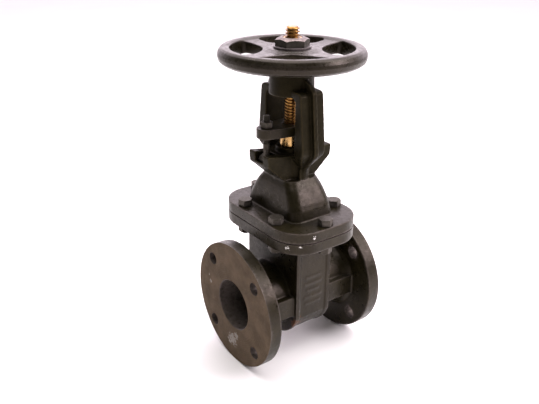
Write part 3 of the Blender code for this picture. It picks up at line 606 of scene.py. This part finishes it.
def build_body_casting():
    back = FLANGE_FACE - FLANGE_THICK
    half = [(NECK_R, 60 * MM), (NECK_R + 0.4 * MM, 68 * MM), (NECK_R + 2.5 * MM, 76 * MM),
            (NECK_R + 7.5 * MM, back), (FLANGE_R, back), (FLANGE_R, FLANGE_FACE + STOCK),
            (0, FLANGE_FACE + STOCK)]
    mirrored = [(radius, -x) for radius, x in reversed(half)]
    solids = [lathe("pipe", mirrored + half, axis="X", steps=128)]
    top = BODY_JOINT_LOW + 2 * MM
    chamber = chamber_outline(CHAMBER_HALF_Y, CHAMBER_R, top)
    solids.append(prism("chamber", chamber, -CHAMBER_HALF_X, CHAMBER_HALF_X, axis="X"))
    rise = 1.6 * MM
    bead = chamber_outline(CHAMBER_HALF_Y + rise, CHAMBER_R + rise, top)
    for side in (-1, 1):
        ends = sorted((side * (CHAMBER_HALF_X - 4 * MM), side * (CHAMBER_HALF_X + 3 * MM)))
        solids.append(prism("bead", bead, *ends, axis="X"))
        # a raised blank panel of cast bars on each side of the chamber
        for row in range(5):
            z = (44 - 11 * row) * MM
            ends = sorted((side * (CHAMBER_HALF_Y - MM), side * (CHAMBER_HALF_Y + 0.9 * MM)))
            width = (13, 16, 11, 16, 14)[row] * MM
            solids.append(box("bar", (-width, ends[0], z - 1.6 * MM),
                              (width, ends[1], z + 1.6 * MM)))
    solids.append(box("pads", (-80 * MM, -56.3 * MM, -16 * MM), (80 * MM, 56.3 * MM, 16 * MM)))
    solids.append(prism("joint", joint_outline(-GROWTH), BODY_JOINT_LOW,
                        BODY_JOINT_HIGH + STOCK))
    casting = cast("body_casting", solids, *BODY_CAST)

    pocket = [(0, 12 * MM), (46.3 * MM, 12 * MM), (46.3 * MM, 19.3 * MM), (44 * MM, 19.3 * MM),
              (44 * MM, 28.3 * MM), (0, 28.3 * MM)]
    cavity = chamber_outline(CAVITY_HALF_Y - 0.5 * MM, CAVITY_HALF_Y, FAR)
    bore = [(0, -FLANGE_FACE - MM), (BORE_R + 2 * MM, -FLANGE_FACE - MM),
            (BORE_R, -FLANGE_FACE + MM), (BORE_R, FLANGE_FACE - MM),
            (BORE_R + 2 * MM, FLANGE_FACE + MM), (0, FLANGE_FACE + MM)]
    tools = [box("joint_face", (-FAR, -FAR, BODY_JOINT_HIGH), (FAR, FAR, FAR)),
             prism("cavity", cavity, -CAVITY_HALF_X, CAVITY_HALF_X, axis="X"),
             lathe("bore", bore, axis="X")]
    for side in (-1, 1):
        ends = sorted((side * FLANGE_FACE, side * FAR))
        tools.append(box("end_face", (ends[0], -FAR, -FAR), (ends[1], FAR, FAR)))
        tilt = SEAT_TILT if side > 0 else math.pi - SEAT_TILT
        tools.append(lathe("seat_pocket", pocket, axis="X", tilt=tilt, steps=90))
        for quarter in range(4):
            angle = math.radians(45 + 90 * quarter)
            hole = rod("hole", FLANGE_HOLE_R, *sorted((side * 78 * MM, side * FAR)), axis="X",
                       steps=48)
            tools.append(place(hole, 0, BOLT_CIRCLE_R * math.cos(angle),
                               BOLT_CIRCLE_R * math.sin(angle)))
    tools += joint_holes(BODY_JOINT_LOW - MM, FAR)
    return machine(casting, *tools)


def paint_faces(obj, material, chosen):
    """Give the faces that chosen(face) picks out a second material."""
    obj.data.materials.append(material)
    for face in obj.data.polygons:
        if chosen(face):
            face.material_index = 1


def dome_section(z, half_x, half_y, corner):
    return z, rounded_rectangle(half_x, half_y, corner)


def build_leg(side):
    """A broad plate, narrowed at its foot, and the rib down its outer face."""
    inner, outer = side * LEG_INNER, side * LEG_OUTER
    root = side * 20 * MM
    plate = [(root, 180 * MM, 0), (inner, 180 * MM, 0), (side * 33.5 * MM, 203 * MM, 14 * MM),
             (outer, LEG_FOOT_Z + 2 * MM, 20 * MM), (side * LEG_SHOULDER, SHOULDER_Z, 7 * MM),
             (side * 30 * MM, SHOULDER_Z + MM, 0), (root, SHOULDER_Z + MM, 0),
             (root, BOSS_LOW + 2.4 * MM, 0), (inner, BOSS_LOW + 2.4 * MM, 9 * MM),
             (inner, BOX_TOP - 3 * MM, 0), (root, BOX_TOP - 3 * MM, 0)]
    leg = prism("leg", rounded(plate), -LEG_HALF_X, LEG_HALF_X, axis="X")
    for end in (-1, 1):
        ankle, far = end * LEG_ANKLE_HALF_X, end * (LEG_HALF_X + MM)
        wedge = [(ankle, 170 * MM), (ankle, LEG_ANKLE_Z), (far, LEG_FOOT_Z), (far, 170 * MM)]
        cut(leg, prism("wedge", wedge, *sorted((side * 15 * MM, side * 70 * MM)), axis="Y"))
    rib = [(root, 181 * MM, 0), (side * 34 * MM, 181 * MM, 0),
           (side * 34.5 * MM, 201 * MM, 14 * MM), (side * RIB_OUTER, LEG_FOOT_Z, 12 * MM),
           (side * RIB_SHOULDER, SHOULDER_Z, 6 * MM), (side * 43 * MM, 322.5 * MM, 9 * MM),
           (side * 30.6 * MM, RIB_TOP, 0), (root, RIB_TOP, 0), (root, 309 * MM, 0),
           (side * 37 * MM, 309 * MM, 0), (side * 37 * MM, 215 * MM, 0), (root, 215 * MM, 0)]
    return [leg, prism("rib", rounded(rib), -RIB_HALF_X, RIB_HALF_X, axis="X")]


def build_lug(side):
    outline = [(side * 15 * MM, 186 * MM, 0), (side * 26 * MM, 186 * MM, 0),
               (side * 54.3 * MM, 211 * MM, 3 * MM), (side * 55.3 * MM, 227.3 * MM, 2 * MM),
               (side * 15 * MM, 221 * MM, 0)]
    lug = prism("lug", rounded(outline, 4), -23.3 * MM, 23.3 * MM, axis="Y")
    slot = [(side * 31.5 * MM, 240 * MM), (side * 31.5 * MM, 201 * MM),
            (side * 38 * MM, 201 * MM), (side * 70 * MM, 228.5 * MM), (side * 70 * MM, 240 * MM)]
    return cut(lug, prism("slot", slot, -9.3 * MM, 9.3 * MM, axis="Y"))


def build_bonnet_casting():
    solids = [prism("joint", joint_outline(-GROWTH), BONNET_BASE - STOCK, BONNET_JOINT_HIGH)]
    dome = [dome_section(130 * MM, 37.8 * MM, 61 * MM, 16 * MM),
            dome_section(137.5 * MM, 37.3 * MM, 60 * MM, 16 * MM),
            dome_section(150 * MM, 35.7 * MM, 57 * MM, 16 * MM),
            dome_section(158 * MM, 34.3 * MM, 53.8 * MM, 15.6 * MM),
            dome_section(165 * MM, 33 * MM, 50 * MM, 15 * MM),
            dome_section(171 * MM, 31.8 * MM, 46.5 * MM, 14.8 * MM),
            dome_section(177 * MM, 30.3 * MM, 42.5 * MM, 14.5 * MM),
            dome_section(187 * MM, 27 * MM, 34 * MM, 14 * MM)]
    solids.append(loft("dome", dome))
    solids.append(rod("box", 28 * MM, 175 * MM, BOX_TOP))
    solids.append(rod("box_collar", 21.2 * MM, BOX_TOP - 3 * MM, 230 * MM))
    for side in (-1, 1):
        solids += build_leg(side) + [build_lug(side)]
    boss = [(0, BOSS_LOW), (BOSS_R, BOSS_LOW), (BOSS_R + 0.1 * MM, BOSS_LOW + 4 * MM),
            (BOSS_R - 1.1 * MM, BOSS_HIGH + STOCK), (0, BOSS_HIGH + STOCK)]
    solids.append(lathe("boss", boss))
    casting = cast("bonnet_casting", solids, *BONNET_CAST)

    cavity = [dome_section(100 * MM, CAVITY_HALF_X, 51 * MM, 14 * MM),
              dome_section(132 * MM, 20.5 * MM, 50.5 * MM, 14 * MM),
              dome_section(148 * MM, 20 * MM, 42 * MM, 14 * MM),
              dome_section(160 * MM, 18.5 * MM, 30 * MM, 14 * MM)]
    tools = [box("joint_face", (-FAR, -FAR, 0), (FAR, FAR, BONNET_BASE)),
             box("boss_face", (-FAR, -FAR, BOSS_HIGH), (FAR, FAR, 2 * FAR)),
             loft("cavity", cavity),
             rod("bush_bore", 13 * MM, 159 * MM, 181 * MM),
             rod("box_bore", PACKING_BORE_R, 180 * MM, 240 * MM),
             rod("sleeve_bore", SLEEVE_BORE_R, 300 * MM, 350 * MM),
             rod("counterbore", 24.3 * MM, 300 * MM, 312 * MM)]
    for side in (-1, 1):
        hole = rod("pin_hole", PIN_HOLE_R, -16 * MM, 30 * MM, axis="Y", steps=40)
        tools.append(place(hole, side * GLAND_BOLT_X, 0, HINGE_Z))
    tools += joint_holes(BONNET_BASE - MM, BONNET_JOINT_HIGH + 4 * MM)
    return machine(casting, *tools)


def spoke_opening(angle):
    """One wheel opening: the rim's circle and a wide arc that bows to the hub, round-tipped."""
    arc_centre, arc_r = 94.5 * MM, 55 * MM
    tip_x, tip_y, tip_r = 66.4 * MM, 39 * MM, 7 * MM
    rim_end = math.atan2(tip_y, tip_x)
    tip_end = math.atan2(tip_y, tip_x - arc_centre)
    full = 2 * math.pi
    arcs = ((0, 0, RIM_INNER_R, -rim_end, rim_end, 24),
            (tip_x, tip_y, tip_r, rim_end, tip_end, 10),
            (arc_centre, 0, arc_r, tip_end, full - tip_end, 24),
            (tip_x, -tip_y, tip_r, full - tip_end, full - rim_end, 10))
    turn = Matrix.Rotation(angle, 2)
    outline = []
    for centre_x, centre_y, radius, start, end, steps in arcs:
        for step in range(steps):
            a = start + (end - start) * (step + 0.5) / steps
            outline.append(tuple(turn @ Vector((centre_x + radius * math.cos(a),
                                                centre_y + radius * math.sin(a)))))
    return outline


def build_handwheel():
    low, crest = RIM_LOW - 0.2 * MM, RIM_HIGH + 0.2 * MM
    stock = 3 * MM                    # on the hub's ends, faced off after casting
    hub_r = 27.2 * MM
    profile = [(0, HUB_LOW - stock), (hub_r, HUB_LOW - stock), (hub_r, 349 * MM),
               (81 * MM, 348 * MM), (85 * MM, low + 1.2 * MM), (89 * MM, low), (94 * MM, low + MM),
               (98.7 * MM, low + 4.5 * MM), (WHEEL_R, low + 10.2 * MM),
               (99.8 * MM, low + 15.2 * MM), (97.3 * MM, crest - 2.4 * MM),
               (94 * MM, crest - 0.2 * MM), (88.3 * MM, crest), (85 * MM, crest - MM),
               (80 * MM, crest - 3 * MM), (60 * MM, 363.1 * MM), (42 * MM, 363.2 * MM),
               (33 * MM, 364.8 * MM), (30 * MM, HUB_HIGH + stock), (0, HUB_HIGH + stock)]
    wheel = lathe("wheel", profile, steps=160)
    cut(wheel, *[prism("opening", spoke_opening(math.radians(WHEEL_TURN + 90 * quarter)),
                       340 * MM, 375 * MM) for quarter in range(4)])
    wheel = cast("handwheel_casting", [wheel], *WHEEL_CAST)
    wide = 34 * MM
    return machine(wheel,
                   box("hub_foot", (-wide, -wide, FAR), (wide, wide, HUB_LOW)),
                   box("hub_top", (-wide, -wide, HUB_HIGH), (wide, wide, 2 * FAR)),
                   rod("hub_bore", 15.3 * MM, 0, 2 * FAR),
                   box("keyway", (12 * MM, -KEYWAY_HALF, 0), (18 * MM, KEYWAY_HALF, 2 * FAR)))


def build_gland_flange():
    ear, centre = 14 * MM, 22 * MM
    lean = math.acos((centre - ear) / GLAND_BOLT_X)
    outline = []
    for spot, radius, start, end in ((GLAND_BOLT_X, ear, -lean, lean),
                                     (0, centre, lean, math.pi - lean),
                                     (-GLAND_BOLT_X, ear, math.pi - lean, math.pi + lean),
                                     (0, centre, math.pi + lean, 2 * math.pi - lean)):
        for step in range(17):
            angle = start + (end - start) * step / 16
            outline.append((spot + radius * math.cos(angle), radius * math.sin(angle)))
    low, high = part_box("gland_flange")
    plate = cast("gland_flange_casting", [prism("plate", outline, low.z, high.z)], *GLAND_CAST)
    holes = [place(rod("hole", 5.5 * MM, 240 * MM, 270 * MM, steps=40), side * GLAND_BOLT_X, 0)
             for side in (-1, 1)]
    return machine(plate, rod("stem_way", 10.4 * MM, 240 * MM, 270 * MM),
                   rod("follower_seat", PACKING_BORE_R, 240 * MM, 254 * MM), *holes)


# ---------------------------------------------------------------- turned and threaded pieces

def helix(name, low, high, root, crest, pitch, steps=48, hand=-1, start=0.0, bevel=0.0):
    """A solid threaded rod cut flat at low and high, with its top crests bevelled."""
    bm = bmesh.new()
    rise = crest - root
    # (radius, height in pitches) up one tooth
    section = [(root, 0.0), (root + rise * 0.12, 0.09), (crest - rise * 0.06, 0.19),
               (crest, 0.25), (crest, 0.45), (crest - rise * 0.06, 0.51),
               (root + rise * 0.12, 0.61), (root, 0.70)]
    rows = []
    for step in range(int((high - low) / pitch + 4) * steps):
        angle = start + hand * 2 * math.pi * step / steps
        rows.append([bm.verts.new((radius * math.cos(angle), radius * math.sin(angle),
                                   low + pitch * (step / steps + offset - 1.5)))
                     for radius, offset in section])
    for row, turn_later in zip(rows, rows[steps:]):
        row.append(turn_later[0])
    for first, second in zip(rows[:-steps], rows[1:-steps]):
        for i in range(len(section)):
            bm.faces.new((first[i], first[i + 1], second[i + 1], second[i]))
    for height, keep in ((low, -1), (high, 1)):
        parts = bm.verts[:] + bm.edges[:] + bm.faces[:]
        bmesh.ops.bisect_plane(bm, geom=parts, plane_co=(0, 0, height), plane_no=(0, 0, keep),
                               clear_outer=True)
        rim = [edge for edge in bm.edges if len(edge.link_faces) == 1 and
               all(abs(vert.co.z - height) < 0.001 * MM for vert in edge.verts)]
        bmesh.ops.edgeloop_fill(bm, edges=rim)
    for vert in bm.verts:
        across = math.hypot(vert.co.x, vert.co.y)
        allowed = crest - max(0.0, vert.co.z - (high - bevel))
        if across > allowed:
            vert.co.x *= allowed / across
            vert.co.y *= allowed / across
    loose = [vert for vert in bm.verts if not vert.link_faces]
    bmesh.ops.delete(bm, geom=loose)
    return mesh_object(name, bm)


def join(name, objects):
    """Put several closed pieces into one object."""
    bm = bmesh.new()
    for obj in objects:
        bm.from_mesh(obj.data)
        bpy.data.objects.remove(obj)
    mesh = bpy.data.meshes.new(name)
    bm.to_mesh(mesh)
    bm.free()
    joined = bpy.data.objects.new(name, mesh)
    bpy.context.scene.collection.objects.link(joined)
    return joined


def build_stem():
    low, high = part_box("stem")
    thread_low = 250 * MM
    core_r = THREAD_ROOT_R - 0.05 * MM
    plain = [(0, low.z), (12.6 * MM, low.z), (13 * MM, low.z + 0.4 * MM),
             (13 * MM, 57.6 * MM), (12.6 * MM, 58 * MM), (8 * MM, 58 * MM), (8 * MM, 69 * MM),
             (13.4 * MM, 69 * MM), (13.4 * MM, 76 * MM), (12 * MM, 76 * MM), (STEM_R, 79 * MM),
             (STEM_R, thread_low - 0.6 * MM), (STEM_R - 0.8 * MM, thread_low),
             (core_r, thread_low + 0.8 * MM), (core_r, high.z - MM), (0, high.z - MM)]
    core = lathe("core", plain)
    thread = helix("thread", thread_low + 0.9 * MM, high.z, THREAD_ROOT_R, STEM_R,
                   THREAD_PITCH, 56, -1, THREAD_START, bevel=2.2 * MM)
    return join("stem_turned", [core, thread])


def hex_solid(name, across_flats, low, high, bore=0.0, turn=0.0, both=False, top_r=None, fall=None):
    """A hexagon bar end or nut whose corners a cone turns off at one or both faces."""
    corner = across_flats / math.sqrt(3)
    top_r = top_r or across_flats / 2 * 0.97
    fall = fall or (corner - top_r) * 0.55
    past = 1 * MM                     # the cones run past the hexagon at both ends
    rise = past * fall / (corner - top_r)
    foot = [(0, low - past), (corner + past, low - past)]
    if both:
        foot = [(0, low - rise), (top_r - past, low - rise), (corner + past, low + fall + rise)]
    cone = foot + [(corner + past, high - fall - rise), (top_r - past, high + rise),
                   (0, high + rise)]
    solid = prism(name, hexagon(across_flats, turn), low, high)
    combine(solid, [lathe("cone", cone, steps=64)], "INTERSECT")
    if bore:
        mouth = [(0, low - MM), (bore + 1.8 * MM, low - MM), (bore, low + 0.8 * MM),
                 (bore, high - 0.8 * MM), (bore + 1.8 * MM, high + MM), (0, high + MM)]
        cut(solid, lathe("bore", mouth, steps=60))
    return solid


def build_bonnet_bolt(index, x, y):
    node_low, node_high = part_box(f"bonnet_bolt_{index}")
    head_low = BONNET_JOINT_HIGH + 0.3 * MM
    turn = math.radians(BOLT_TURNS[index - 1])
    head = hex_solid("head", BONNET_HEX, head_low, node_high.z, turn=turn)
    shank = [(0, node_low.z), (BONNET_BOLT_R - 0.9 * MM, node_low.z),
             (BONNET_BOLT_R, node_low.z + 0.9 * MM), (BONNET_BOLT_R, head_low + MM),
             (0, head_low + MM)]
    bolt = join(f"bonnet_bolt_{index}_turned", [head, lathe("shank", shank, steps=48)])
    return place(bolt, x, y)


def build_bonnet_nut(index, x, y):
    low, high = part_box(f"bonnet_nut_{index}")
    turn = math.radians(NUT_TURNS[index - 1])
    nut = hex_solid(f"bonnet_nut_{index}_cut", BONNET_HEX, low.z, high.z,
                    BONNET_BOLT_R + 0.3 * MM, turn=turn, both=True)
    return place(nut, x, y)


def build_eye_bolt(label, side):
    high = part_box(f"gland_eye_bolt_{label}")[1]
    eye = [(PIN_HOLE_R, -8.8 * MM), (6.9 * MM, -8.8 * MM), (7.5 * MM, -8.2 * MM),
           (7.5 * MM, 8.2 * MM), (6.9 * MM, 8.8 * MM), (PIN_HOLE_R, 8.8 * MM)]
    eye = lathe("eye", eye, axis="Y", steps=64, ring=True)
    core_r = 3.9 * MM
    top = high.z - HINGE_Z
    shank = lathe("shank", [(0, 5.5 * MM), (4.7 * MM, 5.5 * MM), (4.7 * MM, 24 * MM),
                            (core_r, 25 * MM), (core_r, top - MM), (0, top - MM)], steps=48)
    thread = helix("thread", 24.2 * MM, top, core_r + 0.05 * MM, 4.76 * MM, 1.6 * MM, 32, 1,
                   bevel=0.9 * MM)
    bolt = join(f"gland_eye_bolt_{label}_forged", [eye, shank, thread])
    return place(bolt, side * GLAND_BOLT_X, 0, HINGE_Z)


def build_sleeve():
    low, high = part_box("yoke_sleeve")
    relief = STEM_R + 0.8 * MM
    profile = [(relief, low.z), (23.6 * MM, low.z), (24 * MM, low.z + 0.4 * MM),
               (24 * MM, 310 * MM), (16.8 * MM, 310 * MM), (16.8 * MM, HUB_LOW - 0.3 * MM),
               (15 * MM, HUB_LOW - 0.3 * MM), (15 * MM, 365 * MM), (13 * MM, 365 * MM),
               (13 * MM, high.z - 0.5 * MM), (12.5 * MM, high.z), (STEM_R + 0.4 * MM, high.z),
               (STEM_R + 0.4 * MM, 336 * MM), (relief, 336 * MM)]
    sleeve = lathe("yoke_sleeve_turned", profile, ring=True)
    return cut(sleeve, box("keyway", (12.4 * MM, -KEYWAY_HALF, HUB_LOW + MM),
                           (20 * MM, KEYWAY_HALF, 366 * MM)))


def build_follower():
    low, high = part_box("gland_follower")
    inner, outer = STEM_R + 0.3 * MM, 15.55 * MM
    profile = [(inner, low.z), (outer, low.z), (outer, high.z - 0.6 * MM),
               (outer - 0.6 * MM, high.z), (inner, high.z)]
    return lathe("gland_follower_turned", profile, ring=True)


def build_ring_node(node, inner, outer):
    low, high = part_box(node)
    return tube(node + "_turned", inner, outer, low.z, high.z)


# ---------------------------------------------------------------- the valve

def build_pieces(looks):
    body = finish_piece(build_body_casting(), looks["iron"], VALVE, ["body"],
                        CAST_SHARP)
    paint_faces(body, looks["face"],
                lambda face: abs(abs(face.center.x) - FLANGE_FACE) < 0.05 * MM)
    bonnet = build_bonnet_casting()
    finish_piece(bonnet, looks["iron"], VALVE, ["bonnet"], CAST_SHARP)
    # faces above YOKE_IRON_Z take the darker copy, partly painted shade
    paint_faces(bonnet, looks["yoke"], lambda face: face.center.z > YOKE_IRON_Z)
    finish_piece(build_handwheel(), looks["wheel"], WHEEL, ["handwheel"],
                 CAST_SHARP)
    finish_piece(build_gland_flange(), looks["iron"], VALVE, ["gland_flange"])
    finish_piece(build_stem(), looks["stem"], STEM, ["stem"])
    finish_piece(build_sleeve(), looks["bronze"], WHEEL, ["yoke_sleeve"])
    finish_piece(build_follower(), looks["polished"], VALVE, ["gland_follower"])
    low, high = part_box("handwheel_nut")
    nut = hex_solid("handwheel_nut_cut", WHEEL_HEX, low.z, high.z, SPIGOT_BORE_R,
                    turn=math.radians(WHEEL_NUT_TURN), top_r=15.6 * MM, fall=3.8 * MM)
    finish_piece(nut, looks["nut"], WHEEL, ["handwheel_nut"],
                 WHEEL_NUT_SHARP)
    paint_faces(nut, looks["bare"], lambda face: face.normal.z > 0.5)
    washer = build_ring_node("handwheel_washer", SPIGOT_BORE_R, 25.4 * MM)
    finish_piece(washer, looks["wheel"], WHEEL, ["handwheel_washer"])
    for node, outer in (("upper_thrust_washer", 26 * MM), ("lower_thrust_washer", 24 * MM)):
        washer = build_ring_node(node, SLEEVE_BORE_R, outer)
        finish_piece(washer, looks["bronze"], VALVE, [node])
    for index, (x, y) in enumerate(BONNET_BOLT_SPOTS, 1):
        finish_piece(build_bonnet_bolt(index, x, y), looks["bolt"], VALVE,
                     [f"bonnet_bolt_{index}"], HEX_SHARP)
        finish_piece(build_bonnet_nut(index, x, y), looks["bolt"], VALVE,
                     [f"bonnet_nut_{index}"], HEX_SHARP)
    for label, side in (("inlet", -1), ("outlet", 1)):
        finish_piece(build_eye_bolt(label, side), looks["bolt"], VALVE,
                     [f"gland_eye_bolt_{label}"])
        low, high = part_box(f"gland_nut_{label}")
        nut = hex_solid(f"gland_nut_{label}_cut", GLAND_HEX, low.z, high.z, 5.06 * MM,
                        turn=math.radians(10 * side), both=True)
        finish_piece(place(nut, side * GLAND_BOLT_X, 0), looks["bolt"], VALVE,
                     [f"gland_nut_{label}"], HEX_SHARP)


def dress_cad_nodes(looks):
    """Materials for the CAD nodes that stay: inner pieces and small plain ones."""
    dress = {"seat_ring_inlet": "bronze", "seat_ring_outlet": "bronze", "gate_wedge": "iron",
             "wedge_ring_inlet": "bronze", "wedge_ring_outlet": "bronze",
             "bonnet_gasket": "gasket", "backseat_bushing": "bronze", "handwheel_key": "bolt",
             "gland_hinge_pin_inlet": "bolt", "gland_hinge_pin_outlet": "bolt"}
    dress.update({f"packing_ring_{i}": "packing" for i in range(1, 6)})
    for node, look in dress.items():
        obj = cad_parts[node]
        obj.data.materials.clear()
        obj.data.materials.append(looks[look])


# ---------------------------------------------------------------- stage

def build_stage():
    floor = mesh_object("floor", plane_mesh(30.0))
    floor.location.z = CAD_BOUNDS[0].z
    shader = Shader("floor_paper", 0.85, specular=0.2)
    tone = shader.mix(shader.span(shader.noise(0.4, 2), 0.3, 0.7), (0.87, 0.865, 0.855),
                      (0.90, 0.895, 0.885))
    floor.data.materials.append(shader.finish(tone))


def plane_mesh(size):
    bm = bmesh.new()
    bmesh.ops.create_grid(bm, x_segments=1, y_segments=1, size=size / 2)
    return bm


def area_light(name, place_at, look_at, size, power, color):
    light = bpy.data.lights.new(name, "AREA")
    light.shape = "RECTANGLE"
    light.size, light.size_y = size
    light.energy = power
    light.color = color
    lamp = bpy.data.objects.new(name, light)
    lamp.location = place_at
    direction = Vector(look_at) - Vector(place_at)
    lamp.rotation_euler = direction.to_track_quat("-Z", "Y").to_euler()
    bpy.context.scene.collection.objects.link(lamp)


def build_lights():
    """A light tent, bright behind and to the right and dim on the left, with three lamps."""
    world = bpy.data.worlds.new("tent")
    world.use_nodes = True
    tree = world.node_tree
    toward = tree.nodes.new("ShaderNodeVectorMath")
    toward.operation = "DOT_PRODUCT"
    toward.inputs[1].default_value = Vector((0.62, 0.62, 0.48)).normalized()
    tree.links.new(tree.nodes.new("ShaderNodeTexCoord").outputs["Generated"], toward.inputs[0])
    ramp = tree.nodes.new("ShaderNodeValToRGB")
    ramp.color_ramp.elements[0].position = 0.34
    ramp.color_ramp.elements[0].color = (0.15, 0.145, 0.12, 1)
    ramp.color_ramp.elements[1].position = 0.94
    ramp.color_ramp.elements[1].color = (3.10, 2.72, 3.00, 1)
    tree.links.new(toward.outputs["Value"], ramp.inputs["Fac"])
    tree.links.new(ramp.outputs["Color"], tree.nodes["Background"].inputs["Color"])
    bpy.context.scene.world = world
    bpy.context.scene.view_settings.view_transform = "Standard"
    middle = (0, 0, 0.12)
    area_light("key_right", (1.2, -1.0, 1.9), middle, (1.1, 1.1), 26, (1.0, 0.96, 0.95))
    area_light("softbox_right", (1.07, -1.35, 1.02), middle, (0.85, 0.85), 26, (1.0, 0.89, 0.98))
    area_light("overhead", (0.0, 0.2, 2.6), middle, (3.0, 3.0), 92, (1.0, 0.97, 0.98))


def build_camera():
    """The photograph's camera: three quarters from the inlet side, looking 24 degrees down."""
    data = bpy.data.cameras.new("camera")
    data.lens = 43.22
    data.sensor_width = 36.0
    data.clip_start = 0.01
    camera = bpy.data.objects.new("camera", data)
    spot = Vector((-0.5334, -0.6867, 0.5287))
    forward = Vector((0.5353, 0.7394, -0.4084)).normalized()
    right = Vector((0.8112, -0.5848, 0.0046))
    up = right.cross(forward).normalized()
    right = forward.cross(up)
    pose = Matrix((right, up, -forward)).transposed().to_4x4()
    pose.translation = spot
    camera.matrix_world = pose
    bpy.context.scene.collection.objects.link(camera)
    bpy.context.scene.camera = camera


build_camera()
build_stage()
build_lights()
LOOKS = make_materials()
build_pieces(LOOKS)
dress_cad_nodes(LOOKS)
